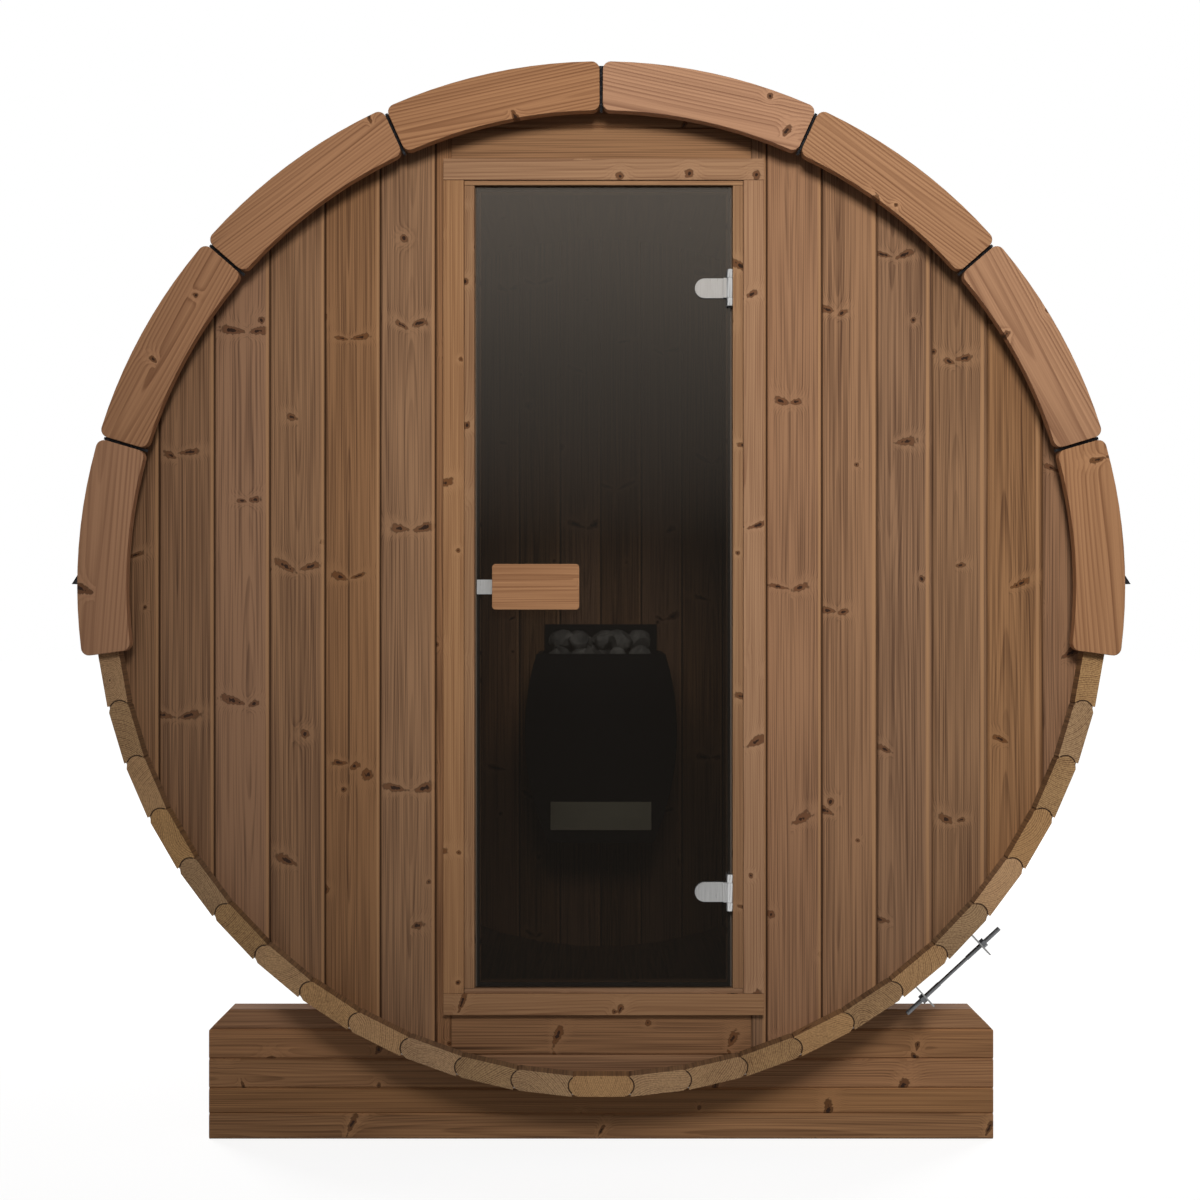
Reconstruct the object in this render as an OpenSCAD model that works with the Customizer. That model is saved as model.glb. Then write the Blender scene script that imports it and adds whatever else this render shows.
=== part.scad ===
// Barrel sauna: a round cabin of bead-and-cove staves held by two steel bands,
// standing on two plank cradles, with board end walls set in croze grooves,
// a felted half-round roof, a glass door and a wall-hung electric stove.
// Millimetres, +Z up, the door looks along -Y, the origin is on the ground
// under the middle of the barrel.

/* [Staves] */
// Distance from the barrel's axis to the outer flat of a stave
stave_apothem = 1021; // [1000:1:1060]
// Thickness of a stave
stave_t = 42; // [40:1:50]
// Length of a stave
stave_len = 1500; // [1400:10:2400]
// Number of staves round the barrel
stave_count = 54; // [50:2:58]
// Height of the lowest stave above the ground
barrel_lift = 143; // [132:1:165]
// Wood left between a bead and each face of its stave
bead_margin = 1; // [0.5:0.5:3]
// How far the bead stands past the edge of its stave
bead_h = 8; // [5:0.5:10]
// Width of the outer shoulder cut beside a bead
shoulder_w = 12; // [8:0.5:16]
// Depth of the outer shoulder cut beside a bead
shoulder_d = 6; // [3:0.5:8]
// Width of the inner shoulder cut beside a bead
inner_shoulder_w = 6; // [4:0.5:10]
// Depth of the inner shoulder cut beside a bead
inner_shoulder_d = 3; // [2:0.5:4]

/* [End walls] */
// Thickness of a wall board
wall_t = 42; // [32:1:50]
// How far the end walls stand back from the stave ends
wall_recess = 40; // [34:1:60]
// Depth of the croze groove that holds an end wall
croze_depth = 11; // [6:0.5:13]
// Pitch of the wall boards
board_w = 112.6; // [95:0.1:125]
// Depth of the V along each board edge
board_v = 4; // [2:0.5:6]
// Width of the bay that holds the door
bay_w = 674; // [664:1:700]
// Width of the upright post on each side of the bay
post_w = 32; // [26:1:36]
// Visible width of the lower board over the door
over_door_board = 85; // [60:1:100]
// Width of the upper board under the door
under_door_board = 102; // [80:1:120]

/* [Door frame] */
// How far the door frame stands right of the bay's middle
frame_shift = 5; // [0:0.5:10]
// Mean width of the two side jambs
jamb_w = 43; // [38:1:55]
// Height of the sill's top above the inside of the lowest stave
sill_rise = 171; // [155:1:195]
// Distance of the head's underside below the inside of the top stave
head_drop = 158; // [148:1:185]
// Height of the head and sill pieces
jamb_head_h = 37; // [34:1:45]
// How far the frame stands past the wall inside
jamb_proud = 8; // [4:1:20]
// Width of the stop strip
stop_w = 12; // [9:0.5:16]
// Depth of the stop strip
stop_t = 22; // [14:1:30]
// Width of the upright casing boards
casing_w = 42; // [38:1:50]
// Height of the casing boards across the top and bottom
casing_end_w = 43.5; // [38:0.5:48]
// Thickness of the casing boards
casing_t = 22; // [16:1:26]
// How far the casing stands out past the frame's nosing
casing_proud = 5; // [3:0.5:8]
// Jamb left bare beside the casing
casing_reveal = 21; // [16:1:24]
// Head and sill left bare beside the casing
casing_end_reveal = 9.5; // [6:0.5:14]

/* [Door] */
// Thickness of the door glass
glass_t = 8; // [6:1:10]
// Gap round the door glass
door_gap = 5; // [5:0.5:7]
// How far the glass lies behind the front of the frame
glass_set = 4; // [3:0.5:8]
// Width of the handle block
handle_w = 175.5; // [140:0.5:220]
// Height of the handle block
handle_h = 92; // [60:1:120]
// Thickness of the handle block
handle_t = 36; // [28:1:42]
// Corner radius of the handle block
handle_r = 7; // [3:0.5:12]
// Distance from the free edge of the glass to the handle
handle_inset = 32.5; // [25:0.5:60]
// Height of the steel catch plate
catch_h = 29.5; // [20:0.5:40]
// Thickness of the steel catch plate
catch_t = 4; // [3:0.5:6]

/* [Hinges] */
// Diameter of a hinge knuckle
knuckle_d = 13; // [11:0.5:13.5]
// Length of a hinge knuckle
knuckle_len = 74; // [64:1:90]
// Diameter of a hinge pin
hinge_pin_d = 6; // [5:0.5:7]
// Length of a hinge leaf on the glass
leaf_len = 64; // [50:1:80]
// Height of a hinge leaf
leaf_h = 40; // [32:1:44]
// Thickness of a hinge leaf
leaf_t = 4; // [3:0.5:5]
// Thickness of a hinge's tabs on the jamb
tab_t = 2.5; // [1.5:0.5:3]
// Distance of the upper hinge below the top of the glass
upper_hinge_drop = 204; // [120:1:320]
// Distance of the lower hinge above the bottom of the glass
lower_hinge_rise = 191; // [120:1:320]

/* [Trim boards] */
// How far the trim stands over the roof
trim_proud = 7.5; // [4:0.5:9]
// Width of a trim board
trim_w = 98.5; // [94:0.5:110]
// Thickness of a trim board
trim_t = 28; // [20:1:34]
// Height of the trim's centre above the barrel's axis
trim_rise = 9.4; // [4:0.2:14]
// Number of trim boards on each side
trim_boards = 4; // [3:1:6]
// Angle that the trim covers on each side
trim_span = 98; // [90:0.5:105]
// Gap between trim boards
trim_gap = 6; // [3:0.5:10]
// Corner radius of a trim board
trim_r = 16; // [6:1:24]

/* [Roof] */
// Thickness of the roof at its lower edge
roof_t = 15.7; // [10:0.1:24]
// Height of the roof's lower edge above the barrel's axis
roof_edge_z = 12; // [0:1:40]
// How far the drip edge stands out of the roof
drip_w = 26; // [16:1:34]
// Height of the drip edge
drip_h = 41; // [28:1:60]

/* [Bands] */
// Width of a steel band
band_w = 40; // [30:1:50]
// Thickness of a steel band
band_t = 2; // [1.5:0.1:3]
// Distance from the stave end to the middle of a band
band_set = 44; // [36:1:80]
// Angle of the tensioner from the bottom of the barrel
tension_a = 42.75; // [35:0.25:55]
// Gap between the two ends of a band
band_gap = 152; // [120:1:180]
// How far an ear stands out of the band
ear_h = 54; // [48:1:64]
// Thickness of an ear
ear_t = 3; // [2:0.5:5]
// Distance from the staves to the middle of the tension rod
rod_out = 34; // [26:0.5:36]
// Diameter of the tension rod
rod_d = 9; // [8:0.5:12]
// Length of the tension rod
rod_len = 256; // [220:1:300]
// Length of the thread at each end of the tension rod
thread_len = 90; // [70:1:100]
// Diameter of the plain middle of the tension rod
shank_d = 7.6; // [6:0.1:8]
// Width across the flats of a tension nut
nut_w = 17; // [15:0.5:20]
// Thickness of a tension nut
nut_t = 9; // [7:0.5:12]

/* [Cradles] */
// Length of the front cradle
cradle_w = 1664; // [1560:2:1760]
// Length of the rear cradle, short enough to stay out of sight behind the front one
rear_cradle_w = 1520; // [1440:2:1760]
// Thickness of a cradle
cradle_t = 64; // [50:1:90]
// Distance from the stave end to a cradle
cradle_set = 200; // [120:5:350]
// Height of the two lowest planks
low_plank_h = 54; // [48:0.5:60]
// Height of the next two planks
plank_h = 62.5; // [56:0.5:66]
// Height of the top plank
top_plank_h = 42; // [34:1:56]
// Cut at a cradle's top corners
cradle_cut = 44; // [20:1:60]

/* [Stove] */
// Width of the stove at its widest
stove_w = 396; // [340:2:440]
// Radius of the stove's bulging sides
stove_side_r = 698; // [600:2:900]
// Height of the stove's bottom above the inside of the lowest stave
stove_rise = 327; // [275:1:355]
// Height of the stove from its bottom to its rim
stove_h = 492; // [440:2:540]
// Height of the stove's widest place above its bottom
stove_belly = 288; // [250:1:320]
// Depth of the stove from front to back
stove_depth = 300; // [240:2:360]
// Thickness of the stove's casing
stove_wall = 12; // [6:1:20]
// Depth of the stone basket
basket_depth = 150; // [100:5:220]
// Width of the back plate on the wall
plate_w = 308; // [260:2:330]
// Thickness of the back plate
plate_t = 18; // [10:1:30]
// How far the back plate stands over the stove's rim
plate_rise = 73; // [50:1:110]
// Width of the pale panel on the front
panel_w = 262; // [200:2:270]
// Height of the pale panel
panel_h = 73; // [50:1:90]
// Distance of the pale panel above the stove's bottom
panel_rise = 34; // [24:1:60]
// Thickness of the pale panel
panel_t = 5; // [3:0.5:8]
// How far the stones heap over the rim
stone_heap = 45; // [20:1:60]

/* [Fits] */
// Clearance between pieces that are fitted together
fit = 0.3; // [0.2:0.05:0.5]
// Radial clearance of a hinge pin in its knuckle
pin_fit = 0.05; // [0.02:0.01:0.1]

/* [Hidden] */
$fn = 48;

// Facets of the large circles
barrel_fn = 240;

// Colours of the pieces
stave_colour = "#8f6d48";
wall_colour = "#83603f";
trim_colour = "#a57c5a";
cradle_colour = "#6e4c34";
frame_colour = "#9a744f";
steel_colour = "#bfc2c4";
felt_colour = "#1d1d1f";
stove_colour = "#26272a";

// Barrel
axis_z = barrel_lift + stave_apothem;
inner_apothem = stave_apothem - stave_t;
mid_apothem = stave_apothem - stave_t / 2;
pitch_a = 360 / stave_count;
half_a = pitch_a / 2;
side_staves = stave_count / 2 - 1;
group_size = ceil(side_staves / 3);
stave_corner_r = stave_apothem / cos(half_a);
stave_end_y = stave_len / 2;
inside_bottom_z = axis_z - inner_apothem;
inside_top_z = axis_z + inner_apothem;
bead_r = stave_t / 2 - bead_margin;

// End walls, measured from the middle of the barrel
wall_out_y = stave_end_y - wall_recess;
wall_mid_y = wall_out_y - wall_t / 2;
wall_in_y = wall_out_y - wall_t;
croze_r = inner_apothem + croze_depth;
wall_r = croze_r - fit;
side_boards = ceil((wall_r - fit - bay_w / 2) / board_w);
back_boards = ceil((wall_r - fit) / board_w);

// Door frame
bay_clear = bay_w - 2 * post_w;
frame_open_w = bay_clear - 2 * jamb_w;
sill_z = inside_bottom_z + sill_rise;
frame_head_z = inside_top_z - head_drop;
frame_left_x = frame_shift - frame_open_w / 2;
frame_right_x = frame_shift + frame_open_w / 2;
frame_top_z = frame_head_z + jamb_head_h;
frame_bottom_z = sill_z - jamb_head_h;
wall_front_y = -wall_out_y;
frame_front_y = wall_front_y - casing_t + casing_proud;
frame_back_y = jamb_proud - wall_in_y;
casing_left_x = frame_left_x - casing_reveal;
casing_right_x = frame_right_x + casing_reveal;
casing_top_z = frame_head_z + casing_end_reveal;
casing_bottom_z = sill_z - casing_end_reveal;

// Door, with its front looking along -Y
glass_front_y = frame_front_y + glass_set;
glass_back_y = glass_front_y + glass_t;
glass_left_x = frame_left_x + door_gap;
glass_right_x = frame_right_x - door_gap;
glass_bottom_z = sill_z + door_gap;
glass_top_z = frame_head_z - door_gap;
glass_mid_z = (glass_bottom_z + glass_top_z) / 2;
stop_front_y = glass_back_y + door_gap;
stop_back_y = stop_front_y + stop_t;
handle_left_x = glass_left_x + handle_inset;

// Hinges
hinge_x = frame_right_x - knuckle_d / 2;
hinge_y = frame_front_y - knuckle_d / 2 - fit;
upper_hinge_z = glass_top_z - upper_hinge_drop;
lower_hinge_z = glass_bottom_z + lower_hinge_rise;

// Bands
band_in_r = stave_corner_r + fit;
band_out_r = band_in_r + band_t;
rod_r = stave_corner_r + rod_out;
band_y = stave_end_y - band_set;

// Roof and trim, about a centre above the barrel's axis
roof_in_r = band_out_r + fit;
roof_r = roof_in_r + roof_t;
trim_z = axis_z + trim_rise;
trim_out_r = roof_r + trim_proud;
trim_in_r = trim_out_r - trim_w;
trim_board_a = trim_span / trim_boards;
trim_mid_y = stave_end_y + trim_t / 2;

// Cradles
cradle_y = stave_end_y - cradle_set - cradle_t / 2;
seat_r = stave_corner_r + fit;
plank_heights = [low_plank_h, low_plank_h, plank_h, plank_h, top_plank_h];
cradle_h = plank_top(len(plank_heights) - 1);

// Stove
stove_back_y = wall_in_y - plate_t;
stove_front_y = stove_back_y - stove_depth;
stove_bottom_z = inside_bottom_z + stove_rise;
stove_belly_z = stove_bottom_z + stove_belly;
stove_top_z = stove_bottom_z + stove_h;
plate_top_z = stove_top_z + plate_rise;
basket_z = stove_top_z - basket_depth;

// Height of the top of a cradle's plank, counted from 0 at the ground
function plank_top(i) = i < 0 ? 0 : plank_heights[i] + plank_top(i - 1);

// Points of an arc about a centre, from one angle to another
function arc(c, r, a0, a1, n) =
  [for (i = [0 : n]) let (a = a0 + (a1 - a0) * i / n) c + r * [cos(a), sin(a)]];

// Points of a rectangle with rounded corners, about its middle
function rounded_rectangle(w, h, r) = concat(
  arc([w / 2 - r, h / 2 - r], r, 0, 90, 6),
  arc([r - w / 2, h / 2 - r], r, 90, 180, 6),
  arc([r - w / 2, r - h / 2], r, 180, 270, 6),
  arc([w / 2 - r, r - h / 2], r, 270, 360, 6)
);

// Points of a ring sector with rounded corners, about +X
function rounded_sector(r1, r2, half, r) =
  let (out_a = half - asin(r / (r2 - r)))
  let (in_a = half - asin(r / (r1 + r)))
  concat(
    arc([0, 0], r2, -out_a, out_a, 10),
    arc((r2 - r) * [cos(out_a), sin(out_a)], r, out_a, half + 90, 6),
    arc((r1 + r) * [cos(in_a), sin(in_a)], r, half + 90, in_a + 180, 6),
    arc([0, 0], r1, in_a, -in_a, 10),
    arc((r1 + r) * [cos(in_a), -sin(in_a)], r, 180 - in_a, 270 - half, 6),
    arc((r2 - r) * [cos(out_a), -sin(out_a)], r, 270 - half, 360 - out_a, 6)
  );

// A flat shape in the barrel's cross-section, run along the barrel
module along_barrel(length) {
  translate([0, 0, axis_z])
    rotate([90, 0, 0])
      linear_extrude(length, center = true) children();
}

// A disc across the barrel
module barrel_disc(r, thick, y) {
  translate([0, y, axis_z])
    rotate([90, 0, 0]) cylinder(r = r, h = thick, center = true, $fn = barrel_fn);
}

// Staves

// Moves a shape to the joint on a stave's lower (-1) or upper (1) edge, with -Y outward
module at_joint(side) {
  rotate(side * half_a)
    translate([0, -mid_apothem / cos(half_a)]) children();
}

// Cross-section of the lowest stave before its edges are worked
module stave_blank() {
  reach = tan(half_a);
  side = fit / 2 / cos(half_a);
  polygon([
    [-inner_apothem * reach + side, -inner_apothem],
    [-stave_apothem * reach + side, -stave_apothem],
    [stave_apothem * reach - side, -stave_apothem],
    [inner_apothem * reach - side, -inner_apothem]
  ]);
}

// The two shoulders beside the bead on one side
module bead_shoulders(side) {
  edge_y = stave_t / 2 / cos(half_a);
  lean = tan(half_a);
  out_slope = shoulder_d / shoulder_w - lean;
  in_slope = inner_shoulder_d / inner_shoulder_w + lean;
  polygon([
    [side * bead_h, -stave_t],
    [-side * shoulder_w, -stave_t],
    [-side * shoulder_w, shoulder_w * lean - edge_y],
    [side * bead_h, shoulder_d - edge_y + bead_h * out_slope]
  ]);
  polygon([
    [side * bead_h, stave_t],
    [-side * inner_shoulder_w, stave_t],
    [-side * inner_shoulder_w, edge_y + inner_shoulder_w * lean],
    [side * bead_h, edge_y - inner_shoulder_d - bead_h * in_slope]
  ]);
}

// Cross-section of a stave, with a bead or a cove along each edge
module stave_profile(lower_bead, upper_bead) {
  edges = [[-1, lower_bead], [1, upper_bead]];
  bead_in = bead_r - bead_h;
  difference() {
    union() {
      stave_blank();
      for (edge = edges)
        if (edge[1]) at_joint(edge[0]) translate([-edge[0] * bead_in, 0]) circle(bead_r);
    }
    for (edge = edges)
      at_joint(edge[0])
        if (edge[1]) bead_shoulders(edge[0]);
        else translate([edge[0] * bead_in, 0]) circle(bead_r + fit);
  }
}

// One stave, with the croze grooves for the end walls
module stave(angle, lower_bead, upper_bead) {
  difference() {
    along_barrel(stave_len) rotate(angle) stave_profile(lower_bead, upper_bead);
    for (y = [-wall_mid_y, wall_mid_y]) barrel_disc(croze_r, wall_t + 2 * fit, y);
  }
}

// One third of the staves up the right side
module stave_group(part) {
  first = part * group_size + 1;
  last = min(side_staves, first + group_size - 1);
  for (i = [first : last]) stave(i * pitch_a, false, true);
}

module bottom_stave() {
  color(stave_colour) stave(0, true, true);
}

module top_stave() {
  color(stave_colour) stave(180, false, false);
}

module left_lower_staves() {
  color(stave_colour) mirror([1, 0, 0]) stave_group(0);
}

module left_middle_staves() {
  color(stave_colour) mirror([1, 0, 0]) stave_group(1);
}

module left_upper_staves() {
  color(stave_colour) mirror([1, 0, 0]) stave_group(2);
}

module right_lower_staves() {
  color(stave_colour) stave_group(0);
}

module right_middle_staves() {
  color(stave_colour) stave_group(1);
}

module right_upper_staves() {
  color(stave_colour) stave_group(2);
}

// End walls

// Cross-section of a board with a V along each edge
module board_section(w, t) {
  polygon([
    [-w / 2 + board_v, -t / 2], [w / 2 - board_v, -t / 2],
    [w / 2, -t / 2 + board_v], [w / 2, t / 2 - board_v],
    [w / 2 - board_v, t / 2], [-w / 2 + board_v, t / 2],
    [-w / 2, t / 2 - board_v], [-w / 2, -t / 2 + board_v]
  ]);
}

// An upright board of an end wall, from one x to another, cut to the barrel
module upright_board(x0, x1, y) {
  intersection() {
    translate([(x0 + x1) / 2, y, axis_z])
      linear_extrude(3 * wall_r, center = true) board_section(x1 - x0 - fit, wall_t);
    barrel_disc(wall_r, 2 * wall_t, y);
  }
}

// A level board between the posts of the door bay, cut to the barrel
module level_board(z0, z1) {
  intersection() {
    translate([0, -wall_mid_y, (z0 + z1) / 2])
      rotate([90, 0, 90])
        linear_extrude(bay_clear - 2 * fit, center = true) board_section(wall_t, z1 - z0 - fit);
    barrel_disc(wall_r, 2 * wall_t, -wall_mid_y);
  }
}

module front_wall_right() {
  color(wall_colour)
    for (i = [0 : side_boards - 1])
      upright_board(bay_w / 2 + i * board_w, bay_w / 2 + (i + 1) * board_w, -wall_mid_y);
}

module front_wall_left() {
  color(wall_colour)
    for (i = [0 : side_boards - 1])
      upright_board(-bay_w / 2 - (i + 1) * board_w, -bay_w / 2 - i * board_w, -wall_mid_y);
}

module door_posts() {
  color(wall_colour) {
    upright_board(-bay_w / 2, -bay_clear / 2, -wall_mid_y);
    upright_board(bay_clear / 2, bay_w / 2, -wall_mid_y);
  }
}

module wall_above_door() {
  color(wall_colour) {
    level_board(frame_top_z, frame_top_z + over_door_board);
    level_board(frame_top_z + over_door_board, axis_z + wall_r + board_w);
  }
}

module wall_below_door() {
  color(wall_colour) {
    level_board(frame_bottom_z - under_door_board, frame_bottom_z);
    level_board(axis_z - wall_r - board_w, frame_bottom_z - under_door_board);
  }
}

module back_wall_right() {
  color(wall_colour)
    for (i = [0 : back_boards - 1]) upright_board(i * board_w, (i + 1) * board_w, wall_mid_y);
}

module back_wall_left() {
  color(wall_colour)
    for (i = [0 : back_boards - 1]) upright_board(-(i + 1) * board_w, -i * board_w, wall_mid_y);
}

// Door frame

// A box between two corners
module box(low, high) {
  translate(low) cube(high - low);
}

// A frame piece between two corners in the front view: its part in the wall, and the nosing
// before it, which ends short of the casing
module frame_piece(low, high) {
  nose_low = [max(low[0], casing_left_x + fit), max(low[1], casing_bottom_z + fit)];
  nose_high = [min(high[0], casing_right_x - fit), min(high[1], casing_top_z - fit)];
  box([low[0], wall_front_y, low[1]], [high[0], frame_back_y, high[1]]);
  box([nose_low[0], frame_front_y, nose_low[1]], [nose_high[0], frame_back_y, nose_high[1]]);
}

module door_jamb() {
  half = bay_clear / 2 - fit;
  color(frame_colour) {
    frame_piece([-half, sill_z + fit], [frame_left_x, frame_head_z - fit]);
    frame_piece([frame_right_x, sill_z + fit], [half, frame_head_z - fit]);
    frame_piece([-half, frame_head_z], [half, frame_top_z - fit]);
    frame_piece([-half, frame_bottom_z + fit], [half, sill_z]);
  }
}

module door_stop() {
  in_left = frame_left_x + stop_w;
  in_right = frame_right_x - stop_w;
  color(frame_colour) {
    box([frame_left_x, stop_front_y, sill_z], [in_left, stop_back_y, frame_head_z]);
    box([in_right, stop_front_y, sill_z], [frame_right_x, stop_back_y, frame_head_z]);
    box(
      [in_left + fit, stop_front_y, frame_head_z - stop_w],
      [in_right - fit, stop_back_y, frame_head_z]
    );
    box(
      [in_left + fit, stop_front_y, sill_z],
      [in_right - fit, stop_back_y, sill_z + stop_w]
    );
  }
}

// A casing board on the wall, between two corners in the front view
module casing_board(low, high) {
  box([low[0], wall_front_y - casing_t, low[1]], [high[0], wall_front_y, high[1]]);
}

module door_casing() {
  left = casing_left_x - casing_w;
  right = casing_right_x + casing_w;
  color(frame_colour) {
    casing_board([left, casing_bottom_z + fit], [casing_left_x, casing_top_z - fit]);
    casing_board([casing_right_x, casing_bottom_z + fit], [right, casing_top_z - fit]);
    casing_board([left, casing_top_z], [right, casing_top_z + casing_end_w]);
    casing_board([left, casing_bottom_z - casing_end_w], [right, casing_bottom_z]);
  }
}

// Hinges

// The fixed half of a hinge: the two end knuckles, the pin and the tabs on the jamb
module hinge_bracket(z) {
  end_len = (knuckle_len - leaf_h) / 2 - fit;
  color(steel_colour)
    translate([hinge_x, hinge_y, z]) {
      cylinder(d = hinge_pin_d, h = knuckle_len, center = true);
      for (side = [-1, 1])
        translate([0, 0, side * (knuckle_len - end_len) / 2]) {
          cylinder(d = knuckle_d, h = end_len, center = true);
          translate([knuckle_d / 2 - fit - tab_t, 0, -end_len / 2])
            cube([tab_t, glass_back_y - hinge_y, end_len]);
        }
    }
}

// Points of a leaf with a round free end on the left, from x = 0
function leaf_outline(length) = concat(
  [[0, -leaf_h / 2], [0, leaf_h / 2]],
  arc([leaf_h / 2 - length, 0], leaf_h / 2, 90, 270, 16)
);

// The moving half of a hinge: the middle knuckle, the front leaf and the clamp leaf behind the glass
module hinge_leaf(z) {
  root_w = knuckle_d;
  color(steel_colour) {
    difference() {
      union() {
        translate([hinge_x - knuckle_d / 2, glass_front_y, z])
          rotate([90, 0, 0]) linear_extrude(leaf_t) polygon(leaf_outline(leaf_len));
        translate([hinge_x - root_w, hinge_y, z - leaf_h / 2])
          cube([root_w, glass_front_y - hinge_y, leaf_h]);
        translate([hinge_x, hinge_y, z]) cylinder(d = knuckle_d, h = leaf_h, center = true);
      }
      translate([hinge_x, hinge_y, z])
        cylinder(r = hinge_pin_d / 2 + pin_fit, h = 2 * leaf_h, center = true);
    }
    translate([hinge_x - knuckle_d, glass_back_y + leaf_t, z])
      rotate([90, 0, 0]) linear_extrude(leaf_t) polygon(leaf_outline(leaf_len - knuckle_d / 2));
  }
}

module upper_hinge_bracket() {
  hinge_bracket(upper_hinge_z);
}

module lower_hinge_bracket() {
  hinge_bracket(lower_hinge_z);
}

module upper_hinge_leaf() {
  hinge_leaf(upper_hinge_z);
}

module lower_hinge_leaf() {
  hinge_leaf(lower_hinge_z);
}

// Door

module door_glass() {
  color("#5a5148", 0.6)
    box([glass_left_x, glass_front_y, glass_bottom_z], [glass_right_x, glass_back_y, glass_top_z]);
}

// A handle block whose back face is at y, reaching towards -Y
module handle_block(y) {
  color(frame_colour)
    translate([handle_left_x + handle_w / 2, y, glass_mid_z])
      rotate([90, 0, 0])
        linear_extrude(handle_t) polygon(rounded_rectangle(handle_w, handle_h, handle_r));
}

module outer_handle() {
  handle_block(glass_front_y);
}

module inner_handle() {
  handle_block(glass_back_y + handle_t);
}

module catch_plate() {
  color(steel_colour)
    box(
      [glass_left_x, glass_front_y - catch_t, glass_mid_z - catch_h / 2],
      [handle_left_x - fit, glass_front_y, glass_mid_z + catch_h / 2]
    );
}

// Trim boards

// The trim boards up the right side of one end
module trim_side(y) {
  half = trim_board_a / 2 - asin(trim_gap / 2 / trim_in_r);
  translate([0, y, trim_z])
    rotate([90, 0, 0])
      for (i = [0 : trim_boards - 1])
        rotate(90 - (i + 0.5) * trim_board_a)
          linear_extrude(trim_t, center = true)
            polygon(rounded_sector(trim_in_r, trim_out_r, half, trim_r));
}

module front_trim_right() {
  color(trim_colour) trim_side(-trim_mid_y);
}

module front_trim_left() {
  color(trim_colour) mirror([1, 0, 0]) trim_side(-trim_mid_y);
}

module rear_trim_right() {
  color(trim_colour) trim_side(trim_mid_y);
}

module rear_trim_left() {
  color(trim_colour) mirror([1, 0, 0]) trim_side(trim_mid_y);
}

// Roof

module roof_cover() {
  color(felt_colour)
    along_barrel(stave_len)
      difference() {
        translate([0, trim_rise]) circle(roof_r, $fn = barrel_fn);
        circle(roof_in_r, $fn = barrel_fn);
        translate([-2 * roof_r, roof_edge_z - 4 * roof_r]) square(4 * roof_r);
      }
}

module roof_drip_right() {
  color(felt_colour)
    along_barrel(stave_len)
      difference() {
        polygon([
          [roof_r - drip_w, roof_edge_z],
          [roof_r + drip_w, roof_edge_z],
          [roof_r, roof_edge_z + drip_h],
          [roof_r - drip_w, roof_edge_z + drip_h]
        ]);
        translate([0, trim_rise]) circle(roof_r + fit, $fn = barrel_fn);
      }
}

module roof_drip_left() {
  mirror([1, 0, 0]) roof_drip_right();
}

// Bands

// A steel band round the staves, with an ear at each end for the tension rod
module band(y) {
  end_y = sqrt(band_in_r * band_in_r - band_gap * band_gap / 4);
  ear_y = band_out_r + ear_h;
  color(steel_colour)
    translate([0, y, 0])
      difference() {
        along_barrel(band_w)
          rotate(tension_a)
            union() {
              difference() {
                circle(band_out_r, $fn = barrel_fn);
                circle(band_in_r, $fn = barrel_fn);
                translate([-band_gap / 2, -2 * band_out_r]) square([band_gap, 2 * band_out_r]);
              }
              for (side = [-1, 1])
                translate([side * (band_gap + ear_t) / 2, -(ear_y + end_y) / 2])
                  square([ear_t, ear_y - end_y], center = true);
            }
        tension_line() cylinder(d = rod_d + 2 * fit, h = 2 * rod_len, center = true);
      }
}

// Moves a shape whose axis is Z onto the line of the tension rod
module tension_line() {
  translate([rod_r * sin(tension_a), 0, axis_z - rod_r * cos(tension_a)])
    rotate([0, 90 - tension_a, 0]) children();
}

// A tension rod, threaded at both ends, with a nut outside each ear
module tensioner(y) {
  seat = band_gap / 2 + ear_t + fit;
  color(steel_colour)
    translate([0, y, 0])
      tension_line() {
        cylinder(d = shank_d, h = rod_len, center = true);
        for (side = [-1, 1]) {
          translate([0, 0, side * (rod_len - thread_len) / 2])
            cylinder(d = rod_d, h = thread_len, center = true);
          translate([0, 0, side * (seat + nut_t / 2)])
            cylinder(d = nut_w / cos(30), h = nut_t, center = true, $fn = 6);
        }
      }
}

module front_band() {
  band(-band_y);
}

module rear_band() {
  band(band_y);
}

module front_tensioner() {
  tensioner(-band_y);
}

module rear_tensioner() {
  tensioner(band_y);
}

// Cradles

// Side view of a cradle: cut top corners and a seat for the barrel
module cradle_outline(w) {
  half = w / 2;
  difference() {
    polygon([
      [-half, 0], [half, 0],
      [half, cradle_h - cradle_cut], [half - cradle_cut, cradle_h],
      [cradle_cut - half, cradle_h], [-half, cradle_h - cradle_cut]
    ]);
    translate([0, axis_z]) circle(seat_r, $fn = barrel_fn);
  }
}

// A cradle of planks laid on edge, of one length
module cradle(y, w) {
  color(cradle_colour)
    for (i = [0 : len(plank_heights) - 1]) {
      low = i == 0 ? 0 : plank_top(i - 1) + fit;
      high = plank_top(i);
      intersection() {
        translate([0, y, 0])
          rotate([90, 0, 0]) linear_extrude(cradle_t, center = true) cradle_outline(w);
        translate([0, y, (low + high) / 2])
          rotate([90, 0, 90])
            linear_extrude(2 * w, center = true)
              board_section(cradle_t, high - low);
      }
    }
}

module front_cradle() {
  cradle(-cradle_y, cradle_w);
}

module rear_cradle() {
  cradle(cradle_y, rear_cradle_w);
}

// Stove

// Front view of the stove's bulging sides, drawn in by an inset, between two heights
module stove_outline(inset, low_z, high_z) {
  intersection() {
    translate([stove_w / 2 - stove_side_r, stove_belly_z])
      circle(stove_side_r - inset, $fn = barrel_fn);
    translate([stove_side_r - stove_w / 2, stove_belly_z])
      circle(stove_side_r - inset, $fn = barrel_fn);
    translate([-stove_w, low_z]) square([2 * stove_w, high_z - low_z]);
  }
}

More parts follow.
